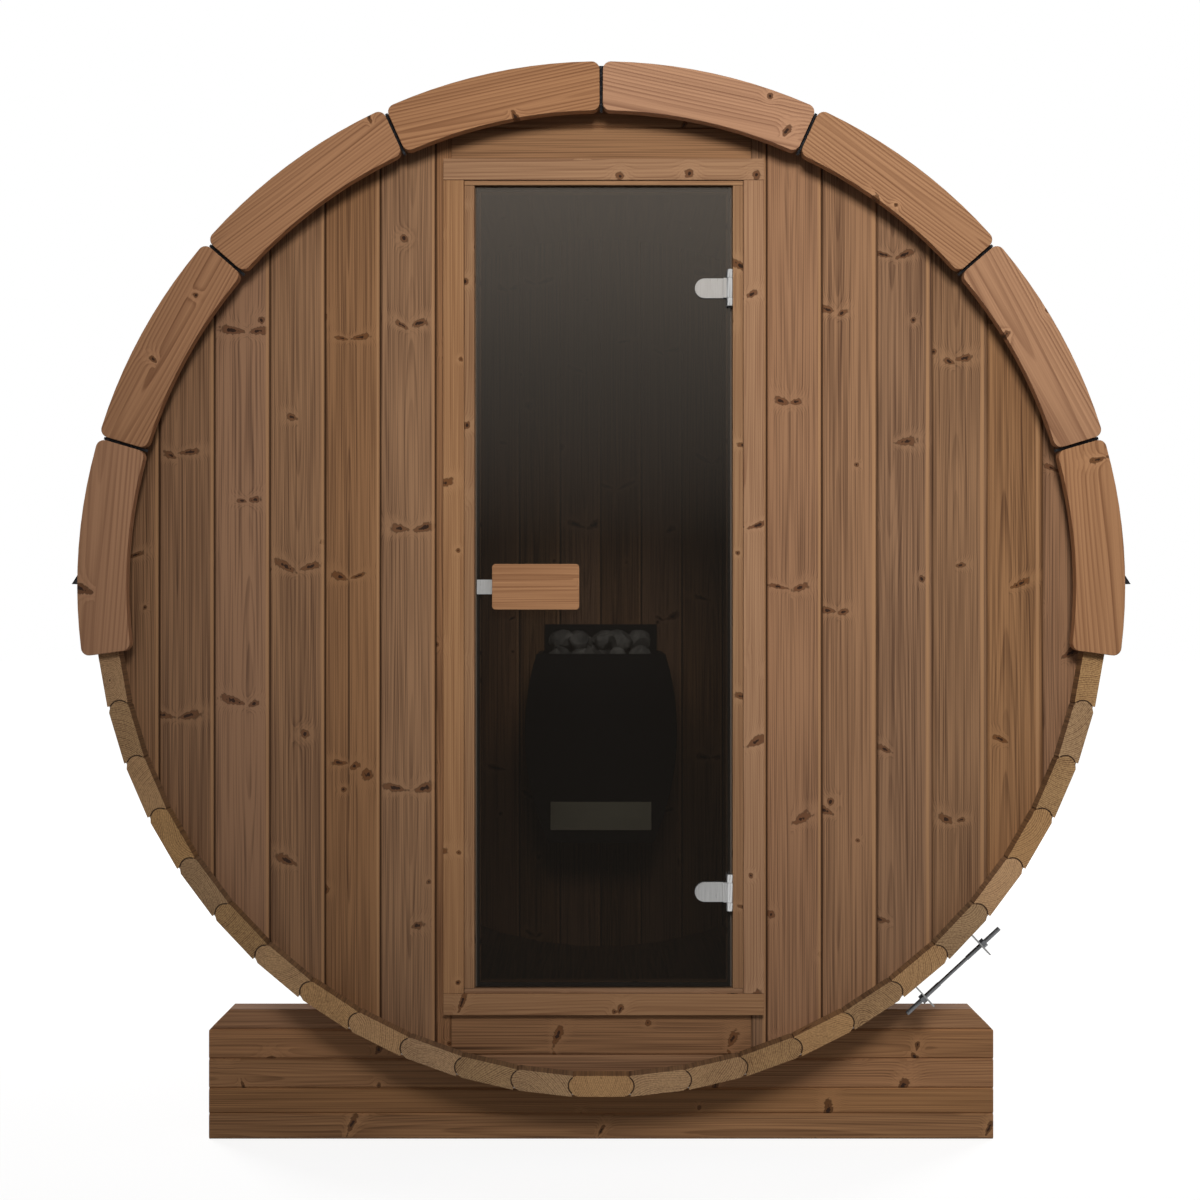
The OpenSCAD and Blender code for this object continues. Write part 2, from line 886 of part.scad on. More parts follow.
// That outline run from the back of the stove to its front, drawn in at both ends too
module stove_block(inset, low_z, high_z) {
  translate([0, stove_back_y - inset, 0])
    rotate([90, 0, 0])
      linear_extrude(stove_depth - 2 * inset) stove_outline(inset, low_z, high_z);
}

module stove_plate() {
  color(stove_colour)
    box([-plate_w / 2, stove_back_y, stove_bottom_z], [plate_w / 2, wall_in_y, plate_top_z]);
}

module stove_body() {
  color(stove_colour)
    difference() {
      stove_block(0, stove_bottom_z, stove_top_z);
      stove_block(stove_wall, basket_z, stove_top_z + stone_heap);
    }
}

// The heap of stones: it fills the basket and is crowned both ways
module stove_stones() {
  half_x = stove_w / 2 - stove_wall;
  half_y = stove_depth / 2 - stove_wall;
  crown_x = (half_x * half_x + stone_heap * stone_heap) / (2 * stone_heap);
  crown_y = (half_y * half_y + stone_heap * stone_heap) / (2 * stone_heap);
  heap_z = stove_top_z + stone_heap;
  color("#5b5a58")
    intersection() {
      stove_block(stove_wall + fit, basket_z + fit, heap_z);
      translate([0, stove_back_y, heap_z - crown_x])
        rotate([90, 0, 0]) cylinder(r = crown_x, h = stove_depth, $fn = barrel_fn);
      translate([-stove_w / 2, stove_back_y - stove_depth / 2, heap_z - crown_y])
        rotate([0, 90, 0]) cylinder(r = crown_y, h = stove_w, $fn = barrel_fn);
    }
}

module stove_panel() {
  low_z = stove_bottom_z + panel_rise;
  color("#b9b6ae")
    box([-panel_w / 2, stove_front_y - panel_t, low_z], [panel_w / 2, stove_front_y, low_z + panel_h]);
}

bottom_stave();
top_stave();
left_lower_staves();
left_middle_staves();
left_upper_staves();
right_lower_staves();
right_middle_staves();
right_upper_staves();
front_wall_left();
front_wall_right();
door_posts();
wall_above_door();
wall_below_door();
back_wall_left();
back_wall_right();
door_jamb();
door_stop();
door_casing();
upper_hinge_bracket();
lower_hinge_bracket();
upper_hinge_leaf();
lower_hinge_leaf();
door_glass();
outer_handle();
inner_handle();
catch_plate();
front_trim_left();
front_trim_right();
rear_trim_left();
rear_trim_right();
roof_cover();
roof_drip_left();
roof_drip_right();
front_band();
rear_band();
front_tensioner();
rear_tensioner();
front_cradle();
rear_cradle();
stove_plate();
stove_body();
stove_stones();
stove_panel();
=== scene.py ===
"""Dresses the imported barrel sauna: timber, steel, glass, roofing and stones, on a plain studio stage."""
import math
import random
from functools import partial

import bmesh
import bpy
from mathutils import Euler, Matrix, Vector


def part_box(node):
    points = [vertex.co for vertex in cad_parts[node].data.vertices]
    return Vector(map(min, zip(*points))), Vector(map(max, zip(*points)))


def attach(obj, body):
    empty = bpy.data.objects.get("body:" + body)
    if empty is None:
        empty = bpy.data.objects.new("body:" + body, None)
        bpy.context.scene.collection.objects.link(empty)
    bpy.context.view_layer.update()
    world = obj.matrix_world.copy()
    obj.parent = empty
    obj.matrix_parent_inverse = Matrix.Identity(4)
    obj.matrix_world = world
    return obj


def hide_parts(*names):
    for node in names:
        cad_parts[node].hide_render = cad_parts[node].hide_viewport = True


bl_info = {
    "name": "Barrel Sauna Dresser",
    "version": (1, 0, 0),
    "blender": (4, 5, 0),
    "location": "3D View > Sidebar > Sauna",
    "description": "Gives a barrel sauna its timber, steel, glass, roofing and stove stones",
    "category": "Object",
}

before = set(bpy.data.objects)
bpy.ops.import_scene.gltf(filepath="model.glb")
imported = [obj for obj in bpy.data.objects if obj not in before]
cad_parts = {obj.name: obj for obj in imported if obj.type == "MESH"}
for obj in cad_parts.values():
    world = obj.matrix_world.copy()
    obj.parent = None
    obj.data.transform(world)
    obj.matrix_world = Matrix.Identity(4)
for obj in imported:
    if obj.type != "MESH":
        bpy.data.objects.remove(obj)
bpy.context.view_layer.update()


def corners(node):
    """Lowest and highest corner of a CAD node as vectors, in metres."""
    low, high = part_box(node)
    return Vector(low), Vector(high)


def linear(code):
    """Linear RGBA of an sRGB hex colour."""
    parts = [int(code[i:i + 2], 16) / 255 for i in (0, 2, 4)]
    return [p / 12.92 if p <= 0.04045 else ((p + 0.055) / 1.055) ** 2.4 for p in parts] + [1.0]


# Sizes of the sauna that no user changes, in metres.
STAVE_THICK = 0.042
TRIM_THICK = 0.028
TRIM_REACH = 0.069   # of the trim, inward from the staves' outer face
# Height of each head and sill of the door frame.
FRAME_HEADS = {"door_casing": 0.0435, "door_jamb": 0.037, "door_stop": 0.012}
WHORL_STEP = 0.46   # from one whorl of branches to the next along a board
# A knot that is absent is put this many times its own size away.
NO_KNOT = 20.0
# The number of each group's first board, from which the board's own looks are drawn.
FIRST_BOARD = {"front": 100.0, "back": 150.0, "level": 203.0, "stave": 300.0, "trim": 400.0,
               "door_casing": 500.0, "door_jamb": 520.0, "door_stop": 540.0, "handle": 611.0}

# Places that the frame gives, in metres.
AXIS_Z = (corners("bottom_stave")[0].z + corners("top_stave")[1].z) / 2
STAVE_OUTER = corners("top_stave")[1].z - AXIS_Z
STAVE_MID = STAVE_OUTER - STAVE_THICK / 2
STAVE_END = corners("bottom_stave")[1].y
WALL_MID_Y = (corners("front_wall_right")[0].y + corners("front_wall_right")[1].y) / 2
BAY_HALF = corners("front_wall_right")[0].x
DOOR_MID_X = (corners("door_jamb")[0].x + corners("door_jamb")[1].x) / 2
GLASS_LOW, GLASS_HIGH = corners("door_glass")
CRADLE_Y = sum(c.y for c in corners("rear_cradle")) / 2
ROOF_TOP = corners("roof_cover")[1].z
STAVES = [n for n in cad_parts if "stave" in n]
TRIMS = [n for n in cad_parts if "trim" in n]


def size_prop(name, description, default):
    """A length in metres that a user may change."""
    return bpy.props.FloatProperty(
        name=name, description=description, default=default, min=0.0, precision=4, subtype="DISTANCE",
        unit="LENGTH")


def colour_prop(name, description, code):
    """A colour that a user may change, given as an sRGB hex value."""
    return bpy.props.FloatVectorProperty(
        name=name, description=description, default=linear(code), size=4, min=0.0, max=1.0, subtype="COLOR")


class SaunaSizes(bpy.types.PropertyGroup):
    """Sizes of the boards, shingles, strips and stones."""
    stave_count: bpy.props.IntProperty(
        name="Staves", description="Staves round the barrel", default=54, min=12)
    board_pitch: size_prop("Board pitch", "Width of a wall board from joint to joint", 0.1126)
    shoulder: size_prop("Tongue shoulder", "Width of the shaded shoulder beside a wall board's tongue", 0.0075)
    level_joint_high: size_prop("Joint over door", "Height of the joint in the boards over the door", 2.107)
    level_joint_low: size_prop("Joint under door", "Height of the joint in the boards under the door", 0.217)
    bead_radius: size_prop("Bead radius", "Radius of the bead along a stave's edge", 0.020)
    bead_set: size_prop("Bead set", "How far the bead's centre lies inside its stave's edge", 0.012)
    trim_angle: bpy.props.FloatProperty(
        name="Trim board angle", description="Arc that one trim board takes", default=math.radians(24.5),
        subtype="ANGLE", unit="ROTATION")
    trim_rise: size_prop("Trim rise", "Height of the trim's centre over the barrel's axis", 0.0094)
    trim_gap: size_prop("Trim gap", "Width of the gap between two trim boards", 0.006)
    low_plank: size_prop("Low cradle plank", "Height of each of the two lowest cradle planks", 0.054)
    plank: size_prop("Cradle plank", "Height of each of the next two cradle planks", 0.0625)
    edge_ease: size_prop("Eased edge", "Width of the planed-off edge on loose boards", 0.0014)
    course: size_prop("Shingle course", "Part of a shingle that shows", 0.148)
    tab: size_prop("Shingle tab", "Width of one shingle tab", 0.333)
    shingle: size_prop("Shingle thickness", "Thickness of one shingle", 0.0026)
    seal: size_prop("Seal width", "Width of the rubber strip that the glass closes on", 0.009)
    thread_pitch: size_prop("Thread pitch", "Rise of the rod's thread in one turn, drawn coarse to show", 0.0025)
    stone: size_prop("Stone size", "Mean size of a stove stone", 0.062)


class SaunaColours(bpy.types.PropertyGroup):
    """Colours of the finishes."""
    wall_pale: colour_prop("Wall, pale", "Early wood of the wall boards", "9e7450")
    wall_dark: colour_prop("Wall, dark", "Late wood of the wall boards", "573a27")
    wall_edge: colour_prop("Wall, edge", "Fresh-planed tongue side of a wall board", "b88b63")
    trim_pale: colour_prop("Trim, pale", "Early wood of the trim boards", "b98860")
    trim_dark: colour_prop("Trim, dark", "Late wood of the trim boards", "72482d")
    frame_pale: colour_prop("Frame, pale", "Early wood of the door frame", "aa805a")
    frame_dark: colour_prop("Frame, dark", "Late wood of the door frame", "6e472c")
    stave_pale: colour_prop("Stave, pale", "Early wood of the staves' planed faces", "8e6b48")
    stave_dark: colour_prop("Stave, dark", "Late wood of the staves' planed faces", "4e3422")
    end_pale: colour_prop("End grain, pale", "Early wood on the staves' sawn ends", "c89e6c")
    end_dark: colour_prop("End grain, dark", "Late wood on the staves' sawn ends", "63422a")
    cradle_pale: colour_prop("Cradle, pale", "Early wood of the cradle planks", "bb885c")
    cradle_dark: colour_prop("Cradle, dark", "Late wood of the cradle planks", "64422a")
    knot: colour_prop("Knot", "Heart of a knot", "2f1c11")
    knot_rim: colour_prop("Knot rim", "Wood that turns round a knot", "6e482b")
    glass: colour_prop("Glass", "Tint of the door's glass", "14110e")
    steel: colour_prop("Steel", "Satin stainless steel", "cbcbca")
    band: colour_prop("Band", "Rolled stainless strip of the bands", "929291")
    rod: colour_prop("Rod", "Bare zinc of the tension rods", "747577")
    felt: colour_prop("Felt", "Mineral chippings of the roof", "1d1d1f")
    felt_grit: colour_prop("Felt grit", "Pale chippings among the dark ones", "3c3c3e")
    enamel: colour_prop("Enamel", "Black heat-proof enamel of the stove", "1a1a1b")
    panel: colour_prop("Panel", "Brushed sheet of the stove's panel", "e6ddbf")
    stone_pale: colour_prop("Stone, pale", "Split faces of the stove stones", "837f78")
    stone_dark: colour_prop("Stone, dark", "Dark crystals of the stove stones", "3a3a38")
    rubber: colour_prop("Rubber", "Moulded rubber of the door seal", "5a5148")
    floor: colour_prop("Floor", "Studio floor", "9a9a9a")


def add_node(tree, kind, *inputs, **settings):
    """Adds one node and returns its outputs.

    kind may name an operation or a data type too, as in "Math ADD" or "Mix RGBA". settings are other properties.
    inputs are its sockets in order, or one dict by name. Each is a value, an output, or all outputs of a node,
    of which the first in use is taken. A MapRange takes its value, the range that it has and the new range.
    """
    name, *form = kind.split()
    node = tree.nodes.new(name if name.startswith("NodeGroup") else "ShaderNode" + name)
    for word in form:
        setattr(node, "operation" if hasattr(node, "operation") else "data_type", word)
    for key, value in settings.items():
        setattr(node, key, value)
    sockets = inputs[0] if inputs and isinstance(inputs[0], dict) else dict(enumerate(inputs))
    for key, value in sockets.items():
        if isinstance(value, bpy.types.bpy_prop_collection):
            value = next(output for output in value if output.enabled)
        if isinstance(value, bpy.types.NodeSocket):
            tree.links.new(value, node.inputs[key])
        else:
            node.inputs[key].default_value = value
    return node.outputs


def new_material(name):
    """An empty node material, and the function that adds its nodes."""
    material = bpy.data.materials.new(name)
    material.use_nodes = True
    material.node_tree.nodes.clear()
    return material, partial(add_node, material.node_tree)


def paint(nodes, material):
    """Gives CAD nodes or new pieces one material."""
    for item in nodes:
        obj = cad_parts[item] if isinstance(item, str) else item
        obj.data.materials.clear()
        obj.data.materials.append(material)


def softwood_group(colours):
    """Planed softwood as a solid: growth rings about a pith, knots in whorls, fibres, and a tone for each board.

    Local is across, depth and along in metres, Piece a number that differs from board to board.
    """
    tree = bpy.data.node_groups.new("planed_softwood", "ShaderNodeTree")
    looks = [(name, "Float") for name in ("Knots", "Ring", "Contrast", "Pith", "Grain", "Pins", "Vary")]
    for name, kind in [("Local", "Vector"), ("Piece", "Float"), ("Pale", "Color"), ("Dark", "Color")] + looks:
        tree.interface.new_socket(name=name, in_out="INPUT", socket_type="NodeSocket" + kind)
    for name, kind in (("Color", "Color"), ("Roughness", "Float"), ("Height", "Float")):
        tree.interface.new_socket(name=name, in_out="OUTPUT", socket_type="NodeSocket" + kind)
    add = partial(add_node, tree)
    given = add("NodeGroupInput")
    lie = add("SeparateXYZ", given["Local"])

    # Chances of this board: where its pith lies, how dark and how red it is.
    luck = add("TexWhiteNoise", {"W": given["Piece"]}, noise_dimensions="1D")
    luck_a = add("SeparateXYZ", luck["Color"])
    tone_luck = add("TexWhiteNoise", {"W": add("Math ADD", given["Piece"], 0.37)}, noise_dimensions="1D")
    luck_b = add("SeparateXYZ", tone_luck["Color"])
    place = add("VectorMath MULTIPLY_ADD", luck["Color"], (9.0, 9.0, 9.0), given["Local"])
    pith_out = add("Math MULTIPLY", given["Pith"], -1.0)
    pith = [add("MapRange", luck_a[i], 0.0, 1.0, pith_out, given["Pith"]) for i in range(2)]
    off_pith, under_pith = [add("Math SUBTRACT", lie[i], pith[i]) for i in range(2)]

    # Noise stretched along the grain: slow bands, torn spots, fibres and streaks.
    noises = []
    for stretch, detail in (((9.0, 9.0, 0.9), 1.0), ((170.0, 170.0, 100.0), 1.0),
                            ((300.0, 300.0, 4.0), 0.0), ((130.0, 130.0, 2.0), 1.0)):
        stretched = add("VectorMath MULTIPLY", place, stretch)
        noises.append(add("TexNoise", {"Vector": stretched, "Scale": 1.0, "Detail": detail}))
    slow, torn, fibre, streak = noises

    # Whorl knots: a pair of branches that lean up and out from the pith, every half metre or so.
    turn = add("Math MULTIPLY_ADD", lie[2], 1 / WHORL_STEP, luck_a[2])
    whorl = add("Math FLOOR", turn)
    within = add("Math FRACT", turn)
    whorl_key = add("CombineXYZ", whorl, given["Piece"])
    whorl_luck = add("TexWhiteNoise", {"Vector": whorl_key})
    whorl_mid = add("MapRange", add("SeparateXYZ", whorl_luck["Color"])[0], 0.0, 1.0, 0.25, 0.75)
    above = add("Math MULTIPLY", add("Math SUBTRACT", within, whorl_mid), WHORL_STEP)
    side = add("Math SIGN", off_pith)
    branch_key = add("CombineXYZ", whorl, given["Piece"], side)
    branch = add("TexWhiteNoise", {"Vector": branch_key})
    branch_luck = add("SeparateXYZ", branch["Color"])
    out = add("Math ABSOLUTE", off_pith)
    lean = add("MapRange", branch_luck[0], 0.0, 1.0, -0.1, -0.75)
    apart = add("Math MULTIPLY_ADD", branch["Value"], 0.02, above)
    from_pith = add("CombineXYZ", out, apart)
    along_branch = add("VectorRotate", {"Vector": from_pith, "Angle": lean}, rotation_type="Z_AXIS")
    knot_len = add("MapRange", branch_luck[1], 0.0, 1.0, 0.009, 0.027)
    knot_wide = add("MapRange", branch_luck[2], 0.0, 1.0, 0.004, 0.0085)
    spread = add("MapRange", add("SeparateXYZ", along_branch)[0], 0.0, 0.04, 0.55, 1.4)
    knot_mid = add("CombineXYZ", add("Math MULTIPLY", knot_len, 1.15))
    knot_radii = add("CombineXYZ", knot_len, add("Math MULTIPLY", knot_wide, spread), 1.0)
    from_mid = add("VectorMath SUBTRACT", along_branch, knot_mid)
    reach = add("VectorMath LENGTH", add("VectorMath DIVIDE", from_mid, knot_radii))
    absent = add("Math GREATER_THAN", branch["Value"], given["Knots"])
    spike = add("Math MULTIPLY_ADD", absent, NO_KNOT, reach)

    # Round knots: branches cut square across, scattered, most of them pin knots.
    per_metre = add("CombineXYZ", 9.0, given["Pins"])
    face = add("SeparateXYZ", place)
    cell_place = add("VectorMath MULTIPLY", add("CombineXYZ", face[0], face[2]), per_metre)
    cell = add("TexVoronoi", {"Vector": cell_place, "Scale": 1.0}, voronoi_dimensions="2D")
    to_cell = add("VectorMath DIVIDE", add("VectorMath SUBTRACT", cell_place, cell["Position"]), per_metre)
    cell_luck = add("SeparateXYZ", cell["Color"])
    pin_size = add("MapRange", add("Math POWER", cell_luck[0], 2.0), 0.0, 1.0, 0.0045, 0.0125)
    pin_reach = add("Math DIVIDE", add("VectorMath LENGTH", to_cell), pin_size)
    pin_absent = add("Math GREATER_THAN", cell_luck[1], add("Math MULTIPLY", given["Knots"], 0.75))
    pin = add("Math MULTIPLY_ADD", pin_absent, NO_KNOT, pin_reach)
    ragged = add("MapRange", torn, 0.25, 0.75, -0.28, 0.28)
    knot = add("Math ADD", add("Math MINIMUM", spike, pin), ragged)

    # Growth rings: distance from a pith that wanders through the board, with a swirl round each knot.
    wander = add("MapRange", slow, 0.0, 1.0, -0.03, 0.03)
    radius = add("VectorMath LENGTH", add("CombineXYZ", off_pith, add("Math ADD", under_pith, wander)))
    swirl = add("Math EXPONENT", add("Math MULTIPLY", add("Math MULTIPLY", knot, knot), -0.22))
    ring_at = add("Math MULTIPLY_ADD", swirl, 0.012, radius)
    phase = add("Math DIVIDE", ring_at, given["Ring"])
    ring_no = add("Math FLOOR", phase)
    ring_key = add("CombineXYZ", ring_no, given["Piece"], 3.0)
    ring_luck = add("TexWhiteNoise", {"Vector": ring_key})
    ring_part = add("Math FRACT", phase)
    rise = add("MapRange", ring_part, 0.3, 0.86, interpolation_type="SMOOTHSTEP")
    drop = add("MapRange", ring_part, 0.90, 1.0, 1.0, 0.0, interpolation_type="SMOOTHSTEP")
    late_depth = add("MapRange", ring_luck, 0.0, 1.0, 0.35, 1.0)
    late = add("Math MULTIPLY", add("Math MULTIPLY", rise, drop), late_depth)

    # Fibres a millimetre or two wide, drawn coarse enough to show, and broad dark and pale bands.
    mottle = -1.2
    for noise, weight in ((fibre, 1.3), (slow, 0.8), (streak, 0.3)):
        mottle = add("Math MULTIPLY_ADD", noise, weight, mottle)
    board_dark = add("MapRange", luck_b[0], 0.0, 1.0, 0.10, 0.32)
    with_grain = add("Math MULTIPLY_ADD", mottle, given["Grain"], board_dark)
    darkness = add("Math MULTIPLY_ADD", late, given["Contrast"], with_grain, use_clamp=True)
    timber = add("Mix RGBA", {"Factor": darkness, "A": given["Pale"], "B": given["Dark"]})

    # Where the pith comes to the face it shows as a dark crack that tapers out.
    crack = add("MapRange", radius, 0.0008, 0.0034, 0.85, 0.0, interpolation_type="SMOOTHSTEP")
    with_pith = add("Mix RGBA", {"Factor": crack, "A": timber, "B": colours.knot})

    # Knots: a pale turned rim, then a dark heart, mottled with brown.
    rim = add("MapRange", knot, 1.2, 3.4, 0.75, 0.0, interpolation_type="SMOOTHSTEP")
    torn_rim = add("Math MULTIPLY", rim, add("MapRange", torn, 0.2, 0.7, 0.2, 1.0))
    with_rim = add("Mix RGBA", {"Factor": torn_rim, "A": with_pith, "B": given["Pale"]})
    heart = add("MapRange", knot, 0.8, 1.15, 1.0, 0.0, interpolation_type="SMOOTHSTEP")
    heart_wood = add("ValToRGB", knot)
    ramp = heart_wood[0].node.color_ramp
    ramp.elements[1].position = 0.3
    for at in (0.45, 0.8, 1.0):
        ramp.elements.new(at)
    for stop, colour in zip(ramp.elements, ("knot", "knot", "knot_rim", "knot_rim", "knot")):
        stop.color = getattr(colours, colour)
    with_heart = add("Mix RGBA", {"Factor": heart, "A": with_rim, "B": heart_wood["Color"]})

    # Board to board, heat-treated wood runs from reddish to greyish and from pale to dark.
    spans = add("MapRange FLOAT_VECTOR", {"Vector": tone_luck["Color"], "To Min": (-0.003, -0.05, -0.08),
                                          "To Max": (0.002, 0.05, 0.07)})
    vary = add("CombineXYZ", given["Vary"], given["Vary"], given["Vary"])
    shift = add("SeparateXYZ", add("VectorMath MULTIPLY_ADD", spans, vary, (0.5, 0.955, 0.99)))
    final = add("HueSaturation", shift[0], shift[1], shift[2], 1.0, with_heart)
    rough = add("MapRange", darkness, 0.0, 1.0, 0.68, 0.54)
    add("NodeGroupOutput", {"Color": final, "Roughness": rough, "Height": fibre})
    return tree


def timber(name, lay, tone, knots=0.5, ring=0.0036, contrast=0.42, pith=0.028, grain=1.0, pins=2.6, ends=None):
    """Heat-treated softwood, planed: dull, with rings, knots and raised late wood that follow each board.

    lay turns the object's x, y and z into across, depth, along, the board's number and two marks:
    the share of fresh-planed edge, and that of the dark line where two boards meet.
    tone names the pale and dark colour, and ends those of faces sawn across, which are rough and show the rings.
    """
    material, add = new_material(name)
    xyz = add("SeparateXYZ", add("TexCoord")["Object"])
    across, depth, along, piece, fresh, joint = lay(add, xyz)
    colours = bpy.context.scene.sauna_colours
    given = {"Local": add("CombineXYZ", across, depth, along), "Piece": piece,
             "Pale": getattr(colours, tone + "_pale"), "Dark": getattr(colours, tone + "_dark"),
             "Knots": knots, "Ring": ring, "Contrast": contrast, "Pith": pith, "Grain": grain, "Pins": pins,
             "Vary": 1.0}
    if ends:
        facing = add("SeparateXYZ", add("NewGeometry")["Normal"])
        end = add("Math GREATER_THAN", add("Math ABSOLUTE", facing[1]), 0.8)
        for name in ("Pale", "Dark"):
            sawn = getattr(colours, ends + "_" + name.lower())
            given[name] = add("Mix RGBA", {"Factor": end, "A": given[name], "B": sawn})
        for name, value in (("Knots", 0.0), ("Contrast", 0.6), ("Grain", 0.5), ("Vary", 1.3)):
            given[name] = add("MapRange", end, 0.0, 1.0, given[name], value)
    wood = add("Group", given, node_tree=bpy.data.node_groups["planed_softwood"])
    colour = wood["Color"]
    if fresh:
        colour = add("Mix RGBA", {"Factor": fresh, "A": colour, "B": colours.wall_edge})
    if joint:
        if ends:
            joint = add("Math MULTIPLY", joint, end)
        colour = add("Mix RGBA", {"Factor": joint, "A": colour, "B": colours.knot})
    bump = add("Bump", {"Strength": 0.35, "Distance": 0.0006, "Height": wood["Height"]})
    surface = add("BsdfPrincipled", {"Base Color": colour, "Roughness": wood["Roughness"], "IOR": 1.5,
                                     "Specular IOR Level": 0.2, "Normal": bump})
    add("OutputMaterial", {"Surface": surface})
    return material


def upright_boards(start, first):
    """Wall boards on end: joints at equal steps left and right of start, numbered from first."""
    sizes = bpy.context.scene.sauna_sizes
    pitch = sizes.board_pitch

    def lay(add, xyz):
        out = add("Math ABSOLUTE", xyz[0])
        hand = add("Math SIGN", xyz[0])
        step = add("Math DIVIDE", add("Math SUBTRACT", out, start), pitch)
        board = add("Math FLOOR", step)
        part = add("Math SUBTRACT", step, board)
        across = add("Math MULTIPLY", add("Math SUBTRACT", part, 0.5), pitch)
        depth = add("Math SUBTRACT", add("Math ABSOLUTE", xyz[1]), abs(WALL_MID_Y))
        piece = add("Math ADD", add("Math MULTIPLY_ADD", hand, 20.0, board), first)
        # A board's right edge is planed fresh. Out on the right the tongue's shaded shoulder shows beside it.
        to_edge = add("Math SUBTRACT", pitch / 2, add("Math MULTIPLY", across, hand))
        open_part = add("MapRange", xyz[0], 0.45, 0.72)
        past_shoulder = add("Math MULTIPLY_ADD", open_part, -sizes.shoulder, to_edge)
        planed = add("MapRange", past_shoulder, 0.0095, 0.0060, 0.0, 0.72)
        shoulder = add("MapRange", past_shoulder, 0.003, -0.002)
        fresh = add("Math SUBTRACT", planed, shoulder, use_clamp=True)
        shade = add("Math MULTIPLY", shoulder, open_part)
        from_mid = add("Math ABSOLUTE", across)
        line_dark = add("MapRange", open_part, 0.0, 1.0, 0.8, 0.2)
        line = add("MapRange", from_mid, pitch / 2 - 0.0026, pitch / 2 - 0.0012, 0.0, line_dark)
        joint = add("Math MAXIMUM", line, add("Math MULTIPLY", shade, 0.09))
        return across, depth, xyz[2], piece, fresh, joint
    return lay


def level_boards(add, xyz):
    """The boards that lie over and under the door, two of each."""
    sizes = bpy.context.scene.sauna_sizes
    over = add("Math GREATER_THAN", xyz[2], AXIS_Z)
    joint = add("MapRange", over, 0.0, 1.0, sizes.level_joint_low, sizes.level_joint_high)
    above = add("Math SUBTRACT", xyz[2], joint)
    upper = add("Math GREATER_THAN", above, 0.0)
    piece = add("Math ADD", add("Math MULTIPLY_ADD", over, 2.0, upper), FIRST_BOARD["level"])
    depth = add("Math SUBTRACT", xyz[1], WALL_MID_Y)
    return above, depth, xyz[0], piece, None, None


def stave_boards(add, xyz):
    """Staves: numbered round the barrel from the bottom, each with a bead that lies in the next one's cove."""
    sizes = bpy.context.scene.sauna_sizes
    pitch = math.tau / sizes.stave_count
    width = pitch * STAVE_MID
    down = add("Math SUBTRACT", AXIS_Z, xyz[2])
    angle = add("Math ARCTAN2", xyz[0], down)
    step = add("Math MULTIPLY_ADD", add("Math ABSOLUTE", angle), 1 / pitch, 0.5)
    board = add("Math FLOOR", step)
    past = add("Math MULTIPLY", add("Math SUBTRACT", step, board), width)
    spoke = add("VectorMath LENGTH", add("CombineXYZ", xyz[0], down))
    depth = add("Math SUBTRACT", spoke, STAVE_MID)
    bead_far = add("VectorMath LENGTH", add("CombineXYZ", add("Math ADD", past, sizes.bead_set), depth))
    in_bead = add("Math LESS_THAN", bead_far, sizes.bead_radius)
    owner = add("Math SUBTRACT", board, in_bead)
    across = add("Math SUBTRACT", add("Math MULTIPLY_ADD", in_bead, width, past), width / 2)
    top = add("Math GREATER_THAN", owner, sizes.stave_count / 2 - 0.5)
    hand = add("Math SIGN", angle)
    side = add("Math MINIMUM", add("Math MULTIPLY_ADD", top, 2.0, hand), 1.0)
    piece = add("Math MULTIPLY_ADD", owner, side, FIRST_BOARD["stave"])
    near_line = add("Math ABSOLUTE", add("Math SUBTRACT", bead_far, sizes.bead_radius))
    joint = add("MapRange", near_line, 0.0008, 0.0019, 1.0, 0.0)
    return across, depth, xyz[1], piece, None, joint


def trim_boards(add, xyz):
    """Arched trim boards: each one's grain runs straight along its chord."""
    sizes = bpy.context.scene.sauna_sizes
    up = add("Math SUBTRACT", xyz[2], AXIS_Z + sizes.trim_rise)
    angle = add("Math ARCTAN2", xyz[0], up)
    board = add("Math FLOOR", add("Math DIVIDE", angle, sizes.trim_angle))
    turn = add("Math MULTIPLY_ADD", board, sizes.trim_angle, sizes.trim_angle / 2)
    flat = add("CombineXYZ", xyz[0], up)
    lie = add("SeparateXYZ", add("VectorRotate", {"Vector": flat, "Angle": turn}, rotation_type="Z_AXIS"))
    across = add("Math SUBTRACT", lie[1], STAVE_MID)
    behind = add("Math GREATER_THAN", xyz[1], 0.0)
    depth = add("Math SUBTRACT", add("Math ABSOLUTE", xyz[1]), STAVE_END + TRIM_THICK / 2)
    piece = add("Math ADD", add("Math MULTIPLY_ADD", behind, 30.0, board), FIRST_BOARD["trim"])
    return across, depth, lie[0], piece, None, None


